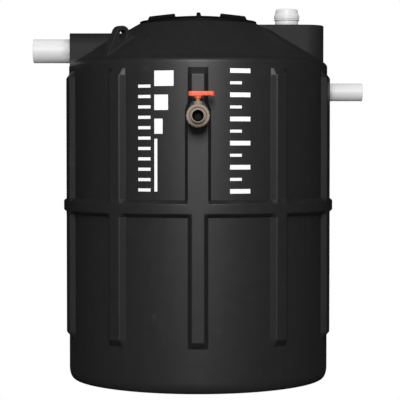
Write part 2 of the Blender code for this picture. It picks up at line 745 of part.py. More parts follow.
def make_lever_hub(pivot):
    height = LEVER_BAR_BASE_Z + LEVER_HUB_ROOT - LEVER_BASE_Z
    bm = bmesh.new()
    bmesh.ops.create_cone(
        bm, cap_ends=True, segments=PIPE_STEPS, radius1=LEVER_HUB_BASE_RADIUS, radius2=LEVER_HUB_TOP_RADIUS,
        depth=height)
    place = (0, 0, LEVER_BASE_Z - VALVE_Z + height / 2)
    return add_cutter("lever_hub", mesh_from(bm, "lever_hub"), place, parent=pivot)


def build():
    wall = make_wall()
    shoulder = make_shoulder()
    make_floor()
    make_neck()
    make_lid()
    skin_below = under_shoulder()
    make_inlet_boss(shoulder, skin_below, wall_line())
    make_vent_tower(shoulder, skin_below)
    make_side_pipes(wall)
    make_vent_pipe()
    make_vent_cap()
    for name, azimuth in LUG_AZIMUTHS.items():
        make_lug(name, azimuth)
    make_valve_fixed(wall)
    make_valve_moving()


clear_scene()
PARTS = make_collection("biogas_digester")
CUTTERS = make_collection("cutters")
BLACK_PLASTIC = make_material("black_polyethylene", (0.018, 0.018, 0.018), 0.55)
LID_PLASTIC = make_material("lid_polyethylene", (0.010, 0.010, 0.010), 0.45)
WHITE_PVC = make_material("white_pvc", (0.80, 0.80, 0.79), 0.35)
BROWN_PVC = make_material("brown_pvc", (0.29, 0.21, 0.15), 0.40)
ORANGE_PLASTIC = make_material("orange_handle", (0.85, 0.13, 0.05), 0.40)
build()
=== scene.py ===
import json
import math

import bmesh
import bpy
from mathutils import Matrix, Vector


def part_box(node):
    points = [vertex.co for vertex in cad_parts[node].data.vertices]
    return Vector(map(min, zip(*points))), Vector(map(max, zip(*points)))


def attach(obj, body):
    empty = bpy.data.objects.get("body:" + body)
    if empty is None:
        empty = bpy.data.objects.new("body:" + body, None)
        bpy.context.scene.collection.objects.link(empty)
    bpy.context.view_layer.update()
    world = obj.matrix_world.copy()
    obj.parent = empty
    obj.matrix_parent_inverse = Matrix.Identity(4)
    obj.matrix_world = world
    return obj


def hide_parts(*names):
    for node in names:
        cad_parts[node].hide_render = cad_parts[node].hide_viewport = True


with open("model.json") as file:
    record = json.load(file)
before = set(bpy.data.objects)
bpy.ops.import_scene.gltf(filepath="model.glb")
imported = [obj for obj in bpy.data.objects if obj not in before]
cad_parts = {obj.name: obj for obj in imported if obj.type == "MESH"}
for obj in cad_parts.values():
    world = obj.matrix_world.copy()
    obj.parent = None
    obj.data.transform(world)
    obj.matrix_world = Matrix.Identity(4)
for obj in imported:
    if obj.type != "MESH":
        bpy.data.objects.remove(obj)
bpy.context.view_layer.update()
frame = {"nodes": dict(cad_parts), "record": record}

fullTurn = math.tau
lyingAlongX = (0, math.pi / 2, 0)
lyingAlongY = (math.pi / 2, 0, 0)
near = {
    "place": 0.001,
    "turn": 0.002,
    "merge": 0.00002,
    "collapse": 0.00001,
}


# general helpers

def freshStart():
    if bpy.context.mode != "OBJECT":
        bpy.ops.object.mode_set(mode="OBJECT")
    bpy.ops.object.select_all(action="DESELECT")


def takeUp(piece):
    # makes one piece the active and only selected one
    freshStart()
    piece.select_set(True)
    bpy.context.view_layer.objects.active = piece
    return piece


def nameIt(name):
    piece = bpy.context.active_object
    piece.name = name
    piece.data.name = name
    return piece


def settle(piece):
    takeUp(piece)
    bpy.ops.object.transform_apply(location=True, rotation=True, scale=True)
    return piece


def startEdit(piece):
    takeUp(piece)
    bpy.ops.object.mode_set(mode="EDIT")
    bpy.ops.mesh.select_mode(type="VERT")
    bpy.ops.mesh.select_all(action="SELECT")


def endEdit():
    bpy.ops.object.mode_set(mode="OBJECT")


def pickNothing(piece, kind):
    bpy.ops.mesh.select_mode(type=kind)
    bpy.ops.mesh.select_all(action="DESELECT")
    return bmesh.from_edit_mesh(piece.data)


def pickVerts(piece, test):
    # selects, in edit mode, the vertices whose place passes the test
    mesh = pickNothing(piece, "VERT")
    for vert in mesh.verts:
        vert.select = test(vert.co)
    mesh.select_flush(True)
    bmesh.update_edit_mesh(piece.data)


def pickFaces(piece, test):
    mesh = pickNothing(piece, "FACE")
    for face in mesh.faces:
        face.select = test(face.calc_center_median(), face.normal)
    bmesh.update_edit_mesh(piece.data)


def pickEdges(piece, test):
    mesh = pickNothing(piece, "EDGE")
    for edge in mesh.edges:
        edge.select = test(edge)
    bmesh.update_edit_mesh(piece.data)


def addModifier(piece, kind, **settings):
    # adds one modifier and applies it at once
    takeUp(piece)
    bpy.ops.object.modifier_add(type=kind)
    modifier = piece.modifiers[-1]
    for key, value in settings.items():
        setattr(modifier, key, value)
    bpy.ops.object.modifier_apply(modifier=modifier.name)
    return piece


def joinOn(piece, other, operation="UNION"):
    # a Boolean with another form, which is used up
    addModifier(piece, "BOOLEAN", operation=operation, object=other, solver="EXACT")
    bpy.data.objects.remove(other)
    return piece


def tidyMesh(piece):
    startEdit(piece)
    bpy.ops.mesh.remove_doubles(threshold=near["merge"])
    bpy.ops.mesh.normals_make_consistent(inside=False)
    endEdit()
    return piece


def smoothOver(piece, angle):
    takeUp(piece)
    bpy.ops.object.shade_smooth_by_angle(angle=math.radians(angle))
    return addModifier(piece, "WEIGHTED_NORMAL", keep_sharp=True, weight=60)


def turnsMore(edge, angle):
    return len(edge.link_faces) == 2 and edge.calc_face_angle(0) >= math.radians(angle)


def edgeMiddle(edge):
    return (edge.verts[0].co + edge.verts[1].co) / 2


def bevelSharp(piece, width, above, within=None, segments=3):
    # rounds every edge that turns more than an angle, in one region if it is given
    startEdit(piece)
    pickEdges(piece, lambda edge: turnsMore(edge, above) and (within is None or within(edgeMiddle(edge))))
    bpy.ops.mesh.bevel(offset=width, segments=segments, profile=0.5, affect="EDGES", clamp_overlap=True)
    endEdit()
    return piece


def addCylinder(name, steps, radius, depth, middle, rotation=(0, 0, 0)):
    freshStart()
    bpy.ops.mesh.primitive_cylinder_add(
        vertices=steps, radius=radius, depth=depth, location=middle, rotation=rotation)
    return settle(nameIt(name))


def middleOf(node, axis):
    low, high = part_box(node)
    return (low["XYZ".index(axis)] + high["XYZ".index(axis)]) / 2


def halfWidthOf(node, axis):
    low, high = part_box(node)
    return (high["XYZ".index(axis)] - low["XYZ".index(axis)]) / 2


def arcPoints(center, radius, start, end, steps):
    points = []
    for step in range(steps + 1):
        angle = math.radians(start + (end - start) * step / steps)
        points.append((center[0] + radius * math.cos(angle), center[1] + radius * math.sin(angle)))
    return points


def drawChain(name, points):
    # a plane is merged to one vertex, which is drawn out from point to point
    freshStart()
    bpy.ops.mesh.primitive_plane_add(size=0.01, location=(0, 0, 0))
    piece = nameIt(name)
    bpy.ops.object.mode_set(mode="EDIT")
    bpy.ops.mesh.select_mode(type="VERT")
    bpy.ops.mesh.select_all(action="SELECT")
    bpy.ops.mesh.merge(type="CENTER")
    bpy.ops.transform.translate(value=points[0])
    for last, point in zip(points, points[1:]):
        step = Vector(point) - Vector(last)
        bpy.ops.mesh.extrude_region_move(TRANSFORM_OT_translate={"value": step})
    bpy.ops.mesh.select_all(action="SELECT")
    return piece


def closeTurned(piece):
    # merges the seam and the poles of a spun form, and turns its faces outwards
    bpy.ops.mesh.select_all(action="SELECT")
    bpy.ops.mesh.remove_doubles(threshold=near["merge"])
    bpy.ops.mesh.dissolve_degenerate(threshold=near["collapse"])
    bpy.ops.mesh.select_all(action="SELECT")
    bpy.ops.mesh.normals_make_consistent(inside=False)
    endEdit()
    return piece


waysRound = {
    "Z": ((1, 0, 0), (0, 0, 1)),
    "X": ((0, 0, 1), (1, 0, 0)),
    "-X": ((0, 0, 1), (-1, 0, 0)),
    "-Y": ((1, 0, 0), (0, -1, 0)),
}


def turned(name, outline, steps, center=(0, 0, 0), axis="Z", closed=True):
    # outline points are (radius, distance along the axis); a closed outline makes a ring or a tube
    across, along = (Vector(way) for way in waysRound[axis])
    middle = Vector(center)
    points = [middle + across * radius + along * height for radius, height in outline]
    if closed:
        points.append(points[0])
    piece = drawChain(name, points)
    bpy.ops.mesh.spin(steps=steps, angle=fullTurn, center=middle, axis=along)
    return closeTurned(piece)


# camera and light

view = {
    "place": (0.0078, -6.750, 0.970),
    "tilt": 88.1235,
    "lens": 142.83,
    "farthest": 60,
}


def setCamera():
    freshStart()
    bpy.ops.object.camera_add(location=view["place"], rotation=(math.radians(view["tilt"]), 0, 0))
    camera = bpy.context.active_object
    camera.data.lens = view["lens"]
    camera.data.clip_end = view["farthest"]
    bpy.context.scene.camera = camera


studio = {
    "floorSize": 60,
    "seen": 1.0,
    "ambientLow": 0.62,
    "ambientHigh": 0.82,
    "ambientBand": (-0.1, 0.9),
    "keyEnergy": 240,
    "keySize": (1.1, 2.2),
    "keyPlace": (0.02, -5.5, 3.1),
    "keyAim": (0, -0.5, 1.0),
    "backEnergy": 70,
    "backSize": (1.8, 1.7),
    "backPlace": (0, 5.5, 1.15),
    "backAim": (0, 0.5, 1.0),
    "floorTone": 0.30,
    "floorMottle": 0.02,
    "floorMirrored": 0.02,
}


def setWorld():
    # white to the eye, a soft light that is stronger from above, and nothing for gloss to mirror
    world = bpy.data.worlds.new("studio")
    bpy.context.scene.world = world
    world.use_nodes = True
    sky = Board(world.node_tree)
    seen = sky.node("LightPath", output="Is Camera Ray")
    soft = sky.node("LightPath", output="Is Diffuse Ray")
    way = sky.node("TexCoord", output="Generated")
    height = sky.node("SeparateXYZ", {}, {"Vector": way}, output="Z")
    low, high = studio["ambientBand"]
    ambient = sky.node("MapRange", {}, {
        "Value": height, "From Min": low, "From Max": high,
        "To Min": studio["ambientLow"], "To Max": studio["ambientHigh"]})
    strength = seen * studio["seen"] + soft * ambient
    light = sky.node("Background", {}, {"Color": (1, 1, 1, 1), "Strength": strength})
    sky.finishWith(light, "OutputWorld")


def setFloor():
    freshStart()
    bpy.ops.mesh.primitive_plane_add(size=studio["floorSize"], location=(0, 0, 0))
    floor = settle(nameIt("studio_floor"))
    finish = Finish("floor")
    tone, paler = studio["floorTone"], studio["floorTone"] + studio["floorMottle"]
    color = finish.mixColor(finish.noise(3.0, detail=2), (tone, tone, tone), (paler, paler, paler))
    mirrored = finish.node("LightPath", output="Is Glossy Ray")
    color = finish.mixColor(mirrored, color, (studio["floorMirrored"],) * 3)
    pale = finish.node("Emission", {}, {"Color": (1, 1, 1, 1), "Strength": studio["seen"]})
    matt = finish.node("BsdfPrincipled", {}, {"Base Color": color, "Roughness": 0.9})
    seen = finish.node("LightPath", output="Is Camera Ray")
    both = finish.node("MixShader", {}, {0: seen, 1: matt, 2: pale})
    finish.finishWith(both, "OutputMaterial")
    floor.data.materials.append(finish.material)


def addSoftbox(place, aim, size, energy):
    freshStart()
    bpy.ops.object.light_add(type="AREA", location=place)
    box = bpy.context.active_object
    box.data.shape = "RECTANGLE"
    box.data.size, box.data.size_y = size
    box.data.energy = energy
    box.rotation_euler = (Vector(aim) - box.location).to_track_quat("-Z", "Y").to_euler()
    box.visible_camera = False


def setStudio():
    bpy.context.scene.view_settings.view_transform = "Standard"
    setWorld()
    setFloor()
    for side in ("key", "back"):
        addSoftbox(*(studio[side + part] for part in ("Place", "Aim", "Size", "Energy")))


# shader wiring

class Wire:
    # a shader socket that is reckoned with like a number
    def __init__(self, finish, socket):
        self.finish = finish
        self.socket = socket

    def reckon(self, operation, first, second):
        return self.finish.node("Math", {"operation": operation}, {0: first, 1: second})

    def __add__(self, other):
        return self.reckon("ADD", self, other)

    def __radd__(self, other):
        return self.reckon("ADD", other, self)

    def __sub__(self, other):
        return self.reckon("SUBTRACT", self, other)

    def __rsub__(self, other):
        return self.reckon("SUBTRACT", other, self)

    def __mul__(self, other):
        return self.reckon("MULTIPLY", self, other)

    def __rmul__(self, other):
        return self.reckon("MULTIPLY", other, self)

    def __gt__(self, other):
        return self.reckon("GREATER_THAN", self, other)

    def __lt__(self, other):
        return self.reckon("LESS_THAN", self, other)


class Board:
    # a node tree that nodes are put on one by one
    def __init__(self, tree):
        self.tree = tree
        self.tree.nodes.clear()

    def node(self, kind, settings=None, inputs=None, output=0):
        made = self.tree.nodes.new("ShaderNode" + kind)
        for key, value in (settings or {}).items():
            if key == "stops":
                self.setStops(made.color_ramp, value)
            else:
                setattr(made, key, value)
        for key, value in (inputs or {}).items():
            if isinstance(value, Wire):
                self.tree.links.new(value.socket, made.inputs[key])
            else:
                made.inputs[key].default_value = value
        return Wire(self, made.outputs[output])

    def setStops(self, ramp, stops):
        while len(ramp.elements) > len(stops):
            ramp.elements.remove(ramp.elements[-1])
        while len(ramp.elements) < len(stops):
            ramp.elements.new(1.0)
        for element, (spot, value) in zip(ramp.elements, stops):
            element.position = spot
            element.color = (value, value, value, 1)

    def finishWith(self, last, kind):
        end = self.tree.nodes.new("ShaderNode" + kind)
        self.tree.links.new(last.socket, end.inputs["Surface"])


class Finish(Board):
    # one material, drawn on the piece's own coordinates
    def __init__(self, name):
        self.material = bpy.data.materials.new(name)
        self.material.use_nodes = True
        super().__init__(self.material.node_tree)
        self.place = self.node("TexCoord", output="Object")

    def noise(self, scale, detail=4, roughness=0.5, where=None):
        inputs = {"Vector": where or self.place, "Scale": scale, "Detail": detail, "Roughness": roughness}
        return self.node("TexNoise", {}, inputs)

    def stretched(self, scale):
        return self.node("Mapping", {}, {"Vector": self.place, "Scale": scale})

    def axis(self, letter):
        return self.node("SeparateXYZ", {}, {"Vector": self.place}, output=letter)

    def between(self, value, start, end):
        # goes smoothly from 0 at one value to 1 at the other
        return self.node("MapRange", {"interpolation_type": "SMOOTHSTEP"}, {
            "Value": value, "From Min": start, "From Max": end})

    def ramp(self, value, stops):
        return self.node("ValToRGB", {"stops": stops}, {"Fac": value})

    def mixColor(self, factor, first, second):
        settings = {"data_type": "RGBA"}
        ends = [tuple(end) + (1.0,) if isinstance(end, tuple) else end for end in (first, second)]
        return self.node("Mix", settings, {0: factor, 6: ends[0], 7: ends[1]}, output=2)

    def grey(self, tone, blue=1.0):
        return self.node("CombineColor", {}, {"Red": tone, "Green": tone, "Blue": tone * blue})

    def relief(self, *layers):
        # bumps laid one on another, each a texture, its strength and its distance
        normal = {}
        for height, strength, distance in layers:
            inputs = {"Height": height, "Strength": strength, "Distance": distance}
            normal = {"Normal": self.node("Bump", {}, {**inputs, **normal})}
        return normal["Normal"]

    def output(self, color, rough, normal, fixed):
        inputs = {"Base Color": color, "Roughness": rough, "Normal": normal, **fixed}
        self.finishWith(self.node("BsdfPrincipled", {}, inputs), "OutputMaterial")
        return self.material


# finishes

blackPlastic = {
    "tones": (0.0118, 0.0182),
    "rough": 0.42,
    "dustAndShadeLine": (1.322, 1.350),
    "dustRough": 0.24,
    # painted shade that darkens the shoulder and everything above it
    "shoulderShade": 0.30,
    "scuffs": 0.0050,
    "blue": 1.02,
    "grain": 900,
    "orangePeel": 160,
    "patches": 22,
    "waves": 7,
    "streaks": (34, 34, 3),
    "scratches": (60, 60, 420),
}

marks = {
    "ink": (0.84, 0.84, 0.84),
    "wallRadius": 0.545,
    "inkDepth": 0.003,
    "scaleLeft": 0.1265,
    "scaleLow": 0.791,
    "scaleHigh": 1.283,
    "scalePitch": 0.0946,
    "longTick": (0.0840, 0.0180),
    "shortTick": (0.0480, 0.0115),
    "ladder": (-0.2430, -0.1900, 0.799, 1.2190),
    "ladderPitch": 0.0408,
    "ladderStep": 0.0120,
    "blocks": (
        (-0.174, -0.096, 1.213, 1.273),
        (-0.174, -0.118, 1.119, 1.179),
        (-0.174, -0.140, 1.026, 1.085)),
    "stripe": (-0.174, -0.1618, 0.799, 1.006),
}


def printedMarks(finish):
    # plain bars and ticks, measured round the wall and up it
    x, y, height = (finish.axis(letter) for letter in "XYZ")
    turn = finish.node("Math", {"operation": "ARCTAN2"}, {0: x, 1: 0 - y})
    across = turn * marks["wallRadius"]
    outside = (x * x + y * y) > (marks["wallRadius"] - marks["inkDepth"]) ** 2

    def patch(left, right, low, high):
        return (across > left) * (across < right) * (height > low) * (height < high)

    def ticks(left, right, low, high, pitch, thickness):
        share = finish.node("Math", {"operation": "FRACT"}, {0: (height - low) * (1 / pitch)})
        return patch(left, right, low, high) * (share < thickness / pitch)

    left, pitch = marks["scaleLeft"], marks["scalePitch"]
    length, thickness = marks["longTick"]
    ink = ticks(left, left + length, marks["scaleLow"], marks["scaleHigh"], pitch, thickness)
    length, thickness = marks["shortTick"]
    low = marks["scaleLow"] + pitch / 2 + thickness / 4
    ink = ink + ticks(left, left + length, low, marks["scaleHigh"], pitch, thickness)
    ink = ink + ticks(*marks["ladder"], marks["ladderPitch"], marks["ladderStep"])
    for block in marks["blocks"]:
        ink = ink + patch(*block)
    ink = ink + patch(*marks["stripe"])
    return ink * outside


def blackMouldedPlastic():
    # satin black with faint streaks and scratches, duller from the shoulder up, and darkened there with
    # painted shade
    finish = Finish("black_moulded_plastic")
    grain = finish.noise(blackPlastic["grain"], detail=2)
    patches = finish.noise(blackPlastic["patches"], detail=5)
    streaks = finish.noise(1, detail=5, where=finish.stretched(blackPlastic["streaks"]))
    scratches = finish.noise(1, detail=8, roughness=0.7, where=finish.stretched(blackPlastic["scratches"]))
    scuff = finish.ramp(scratches * finish.ramp(patches, ((0.45, 0), (0.75, 1))), ((0.42, 0), (0.52, 1)))
    dustAndShade = finish.between(finish.axis("Z"), *blackPlastic["dustAndShadeLine"])
    low, high = blackPlastic["tones"]
    # painted shade: the tone is darkened from the shoulder up
    tone = (low + (high - low) * (patches * 0.6 + streaks * 0.4)) * (1 - dustAndShade * blackPlastic["shoulderShade"])
    color = finish.grey(tone + scuff * blackPlastic["scuffs"], blackPlastic["blue"])
    rough = blackPlastic["rough"] + patches * 0.08 + grain * 0.04 + scuff * 0.06
    rough = rough + dustAndShade * blackPlastic["dustRough"]
    ink = printedMarks(finish)
    normal = finish.relief(
        (finish.noise(blackPlastic["waves"], detail=3), 0.15, 0.004),
        (finish.noise(blackPlastic["orangePeel"], detail=3), 0.06, 0.0010),
        (grain, 0.08, 0.0006))
    color = finish.mixColor(ink, color, marks["ink"])
    return finish.output(color, rough + ink * 0.05, normal, {"IOR": 1.5})


lidFinish = {
    "tones": (0.0030, 0.0052),
    "rough": 0.60,
    "specular": 0.16,
    "scuffs": 0.0030,
    "grain": 1100,
    "orangePeel": 170,
    "patches": 30,
    "wiping": (18, 210, 60),
}


def lidPlastic():
    # matt black, with faint wiping marks
    finish = Finish("lid_plastic")
    patches = finish.noise(lidFinish["patches"], detail=4)
    wiped = finish.noise(1, detail=7, roughness=0.7, where=finish.stretched(lidFinish["wiping"]))
    scuff = finish.ramp(wiped * finish.ramp(patches, ((0.42, 0), (0.70, 1))), ((0.40, 0), (0.55, 1)))
    low, high = lidFinish["tones"]
    color = finish.grey(low + (high - low) * patches + scuff * lidFinish["scuffs"])
    rough = lidFinish["rough"] + patches * 0.10 - scuff * 0.08
    normal = finish.relief(
        (finish.noise(lidFinish["orangePeel"], detail=3), 0.06, 0.0010),
        (finish.noise(lidFinish["grain"], detail=2), 0.08, 0.0005))
    return finish.output(color, rough, normal, {"IOR": 1.45, "Specular IOR Level": lidFinish["specular"]})


pipeFinish = {
    "clean": (0.640, 0.640, 0.645),
    "aged": (0.690, 0.688, 0.680),
    # the grey of painted shade and painted reflection of the black wall where a pipe leaves the tank
    "paintedShade": (0.40, 0.39, 0.41),
    "shadeReach": (0.545, 0.585),
    "ventReach": (1.488, 1.500),
    "wallX": 0.5,
    "rough": 0.34,
    "patches": 40,
    "grain": 260,
    "drawn": (5, 330, 330),
}


def whitePipePlastic():
    # clean at the mouths, duller where a pipe leaves the tank, and greyed there with painted shade
    finish = Finish("white_pipe_plastic")
    x, height = finish.axis("X"), finish.axis("Z")
    patches = finish.noise(pipeFinish["patches"], detail=5)
    drawn = finish.noise(1, detail=4, where=finish.stretched(pipeFinish["drawn"]))
    alongPipe = finish.node("Math", {"operation": "ABSOLUTE"}, {0: x})
    low, high = pipeFinish["shadeReach"]
    nearWall = finish.between(alongPipe, high, low) * (alongPipe > pipeFinish["wallX"])
    low, high = pipeFinish["ventReach"]
    nearTower = finish.between(height, high, low) * (x > 0.2) * (alongPipe < pipeFinish["wallX"])
    # painted shade near the tank wall and just above the vent tower
    paintedShade = (nearWall + nearTower) * finish.ramp(finish.noise(70, detail=6), ((0.30, 0.15), (0.70, 0.85)))
    color = finish.mixColor(patches, pipeFinish["clean"], pipeFinish["aged"])
    color = finish.mixColor(paintedShade, color, pipeFinish["paintedShade"])
    rough = pipeFinish["rough"] + patches * 0.10 + drawn * 0.05 + paintedShade * 0.20
    normal = finish.relief(
        (finish.noise(pipeFinish["grain"], detail=3), 0.05, 0.0005),
        (drawn, 0.05, 0.0006))
    return finish.output(color, rough, normal, {"IOR": 1.52})


valveFinish = {
    "tones": ((0.205, 0.155, 0.112), (0.262, 0.202, 0.147)),
    # near-black painted shade inside the bore
    "sludge": (0.0016, 0.0014, 0.0012),
    # the dark brown of painted shade in the groove and underneath
    "paintedShade": (0.030, 0.022, 0.014),
    "shadeReach": (-0.006, -0.045),
    "grooveReach": (0.0275, 0.0300, 0.0350, 0.0385),
    "grooveFront": (-0.66, -0.68),
    "speckle": (0.16, 0.12, 0.09),
    "boreHeight": 1.093,
    "boreRadius": 0.0226,
    "boreMouth": (-0.7175, -0.7125),
    "rough": 0.38,
    "patches": 90,
    "grain": 1300,
}


def brownValvePlastic():
    # dull brown, with painted shade in the groove and underneath, and near black painted shade inside the
    # bore
    finish = Finish("brown_valve_plastic")
    x, y, height = (finish.axis(letter) for letter in "XYZ")
    patches = finish.noise(valveFinish["patches"], detail=5)
    speckle = finish.ramp(finish.noise(420, detail=3), ((0.60, 0), (0.72, 1)))
    above = height - valveFinish["boreHeight"]
    reach = finish.node("Math", {"operation": "SQRT"}, {0: x * x + above * above})
    # painted shade: near black inside the bore
    boreShadeMask = (reach < valveFinish["boreRadius"]) * finish.between(y, *valveFinish["boreMouth"])
    start, full, fading, end = valveFinish["grooveReach"]
    # painted shade in the front nut's groove
    groove = finish.between(reach, start, full) * finish.between(reach, end, fading)
    groove = groove * finish.between(y, *valveFinish["grooveFront"])
    shadeMottle = finish.ramp(finish.noise(60, detail=5), ((0.30, 0.55), (0.70, 1.0)))
    # painted shade, darker towards the underside
    paintedShade = finish.between(above, *valveFinish["shadeReach"]) * shadeMottle * 0.84
    color = finish.mixColor(patches, *valveFinish["tones"])
    color = finish.mixColor(speckle * 0.25, color, valveFinish["speckle"])
    color = finish.mixColor(groove * 0.42, color, valveFinish["paintedShade"])
    color = finish.mixColor(paintedShade, color, valveFinish["paintedShade"])
    color = finish.mixColor(boreShadeMask, color, valveFinish["sludge"])
    rough = valveFinish["rough"] + patches * 0.14 + boreShadeMask * 0.30
    normal = finish.relief(
        (patches, 0.10, 0.0008),
        (finish.noise(valveFinish["grain"], detail=3), 0.12, 0.0004))
    return finish.output(color, rough, normal, {"IOR": 1.5})


handleFinish = {
    "tones": ((0.68, 0.072, 0.018), (0.77, 0.096, 0.028)),
    # the paler orange of wear and of a painted highlight
    "wornAndLit": (0.90, 0.22, 0.09),
    "wornAndLitReach": (1.180, 1.191),
    "rough": 0.34,
    "patches": 120,
    "grain": 1500,
}


def orangeHandlePlastic():
    # glossy orange, paler in patches on its top, partly wear and partly a painted highlight
    finish = Finish("orange_handle_plastic")
    patches = finish.noise(handleFinish["patches"], detail=4)
    rubbedAndLit = finish.ramp(finish.noise(240, detail=5), ((0.46, 0), (0.62, 1)))
    # painted highlight: the paler patches are kept to the lever's top
    rubbedAndLit = rubbedAndLit * finish.between(finish.axis("Z"), *handleFinish["wornAndLitReach"])
    color = finish.mixColor(patches, *handleFinish["tones"])
    color = finish.mixColor(rubbedAndLit * 0.45, color, handleFinish["wornAndLit"])
    rough = handleFinish["rough"] + patches * 0.10 + rubbedAndLit * 0.12
    normal = finish.relief(
        (patches, 0.06, 0.0005),
        (finish.noise(handleFinish["grain"], detail=2), 0.08, 0.0003))
    return finish.output(color, rough, normal, {"IOR": 1.5})


setCamera()
setStudio()
finishes = {
    "tank_shell": blackMouldedPlastic(),
    "lid_shell": lidPlastic(),
    "white_pipe": whitePipePlastic(),
    "brown_valve": brownValvePlastic(),
    "orange_handle": orangeHandlePlastic(),
}
print("camera, studio and finishes set")


def dress(piece, bodyName, slotName, *nodeNames):
    # gives a finished piece its body, its finish and the nodes it stands for
    takeUp(piece)
    piece.data.materials.clear()
    piece.data.materials.append(finishes[slotName])
    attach(piece, bodyName)
    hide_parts(*nodeNames)
    return piece


# moulded tank body

tank = {
    "proud": 0.0012,
    "floorCorner": (0.020, 0.046),
    "flangeProud": 0.0030,
    "shoulderSlope": 30.3,
    "shoulderFoot": 1.320,
    "shoulderCorner": 0.022,
    "neckRadius": 0.222,
    "neckDepth": 0.060,
    "skin": 0.006,
    "ribs": 10,
    "relief": 0.0225,
    "ribFace": 0.0243,
    "ribFoot": 0.0400,
    "wideFace": 0.0390,
    "wideFoot": 0.0505,
    "ribLow": (0.180, 0.206),
    "hoopLow": (0.696, 0.711),
    "hoopHigh": (0.751, 0.766),
    "wideTop": (1.120, 1.149),
    "ribHigh": (1.258, 1.2865),
    "plainSteps": 10,
    "footSteps": 9,
    "bendSteps": 6,
    "edge": 0.0036,
    "hollowShare": 0.28,
    "bevelAbove": 25,
    "smoothBelow": 40,
}
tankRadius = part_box("tank_floor")[1][0] + tank["proud"]
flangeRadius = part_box("hatch_neck")[1][0] + tank["flangeProud"]
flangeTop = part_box("hatch_neck")[1][2]


def bodyOutline():
    # from the middle of the floor, up the wall and the shoulder, to the bottom of the hatch neck
    corner, cornerRise = tank["floorCorner"]
    turnAngle = 90 - tank["shoulderSlope"]
    bend = tank["shoulderCorner"]
    bendZ = tank["shoulderFoot"] - bend * math.tan(math.radians(turnAngle / 2))
    foot = arcPoints((tankRadius - corner, corner), corner, -90, 0, tank["footSteps"])
    line = [(0, 0)] + [(radius, height * cornerRise / corner) for radius, height in foot]
    for pair in ("ribLow", "hoopLow", "hoopHigh", "wideTop", "ribHigh"):
        line += [(tankRadius, height) for height in tank[pair]]
    line += arcPoints((tankRadius - bend, bendZ), bend, 0, turnAngle, tank["bendSteps"])
    line += [(flangeRadius, flangeTop), (tank["neckRadius"], flangeTop)]
    line += [(tank["neckRadius"], flangeTop - tank["neckDepth"]), (0, flangeTop - tank["neckDepth"])]
    return line


def sweepColumns(step, count):
    # one run of evenly spaced columns, drawn on from the last one
    bpy.ops.mesh.spin(steps=count, angle=step * count, center=(0, 0, 0), axis=(0, 0, 1))


def bodyColumns():
    pitch = fullTurn / tank["ribs"]
    face = tank["ribFace"] / tankRadius
    ramp = tank["ribFoot"] / tankRadius - face
    plain = (pitch - 2 * face - 2 * ramp) / tank["plainSteps"]
    for rib in range(tank["ribs"]):
        sweepColumns(face, 1)
        sweepColumns(ramp, 1)
        sweepColumns(plain, tank["plainSteps"])
        sweepColumns(ramp, 1)
        sweepColumns(face, 1)


def fromRib(point):
    # how far round the tank a point is from the middle of the nearest rib, at the wall's radius
    pitch = fullTurn / tank["ribs"]
    azimuth = math.atan2(point.x, -point.y)
    return abs((azimuth + pitch / 2) % pitch - pitch / 2) * tankRadius


def isPressedOut(point):
    if point.xy.length < tankRadius - near["place"]:
        return False
    if tank["hoopLow"][1] - near["place"] < point.z < tank["hoopHigh"][0] + near["place"]:
        return True
    onFace = fromRib(point) < tank["ribFace"] + near["place"]
    return onFace and tank["ribLow"][1] - near["place"] < point.z < tank["ribHigh"][0] + near["place"]


def widenFrontRib(piece):
    # the front rib is wider from the hoop up to the valve
    low, high = tank["hoopHigh"][0] - near["place"], tank["wideTop"][0] + near["place"]
    for narrow, wide in (("ribFoot", "wideFoot"), ("ribFace", "wideFace")):
        reach = tank[narrow] / tankRadius
        spread = (tank[wide] - tank[narrow]) / tankRadius
        for side in (-1, 1):

            def onEdge(point):
                azimuth = math.atan2(point.x, -point.y) * side
                onWall = point.xy.length > tankRadius - near["place"]
                return onWall and low < point.z < high and abs(azimuth - reach) < near["turn"]

            pickVerts(piece, onEdge)
            bpy.ops.transform.rotate(value=-spread * side, orient_axis="Z", center_override=(0, 0, 0))


def makeBodyForm():
    points = [(0, -radius, height) for radius, height in bodyOutline()]
    piece = drawChain("moulded_body", points)
    bodyColumns()
    closeTurned(piece)
    startEdit(piece)
    pickVerts(piece, isPressedOut)
    grow = (tankRadius + tank["relief"]) / tankRadius
    bpy.ops.transform.resize(value=(grow, grow, 1), center_override=(0, 0, 0))
    widenFrontRib(piece)
    endEdit()
    return piece


def roundRibs(piece):
    # one bevel for all the pressed-out forms: full width on their crests, narrow in the hollow corners
    startEdit(piece)
    for share, isCrest in ((1, True), (tank["hollowShare"], False)):
        pickEdges(piece, lambda edge: turnsMore(edge, tank["bevelAbove"]) and edge.is_convex == isCrest)
        bpy.ops.transform.edge_bevelweight(value=share)
    endEdit()
    return addModifier(piece, "BEVEL", limit_method="WEIGHT", width=tank["edge"], segments=3)


boss = {
    "radius": 0.076,
    "height": 1.380,
    "endRadius": 0.5435,
    "innerX": -0.270,
    "outerX": -0.62,
    "rootZ": 1.300,
    "steps": 72,
    "drumSteps": 200,
    "drumHeight": 0.4,
    "edge": 0.0035,
    "edgeFrom": (-0.45, 1.31),
}


def extrudePicked(offset):
    bpy.ops.mesh.extrude_region_move(TRANSFORM_OT_translate={"value": offset})


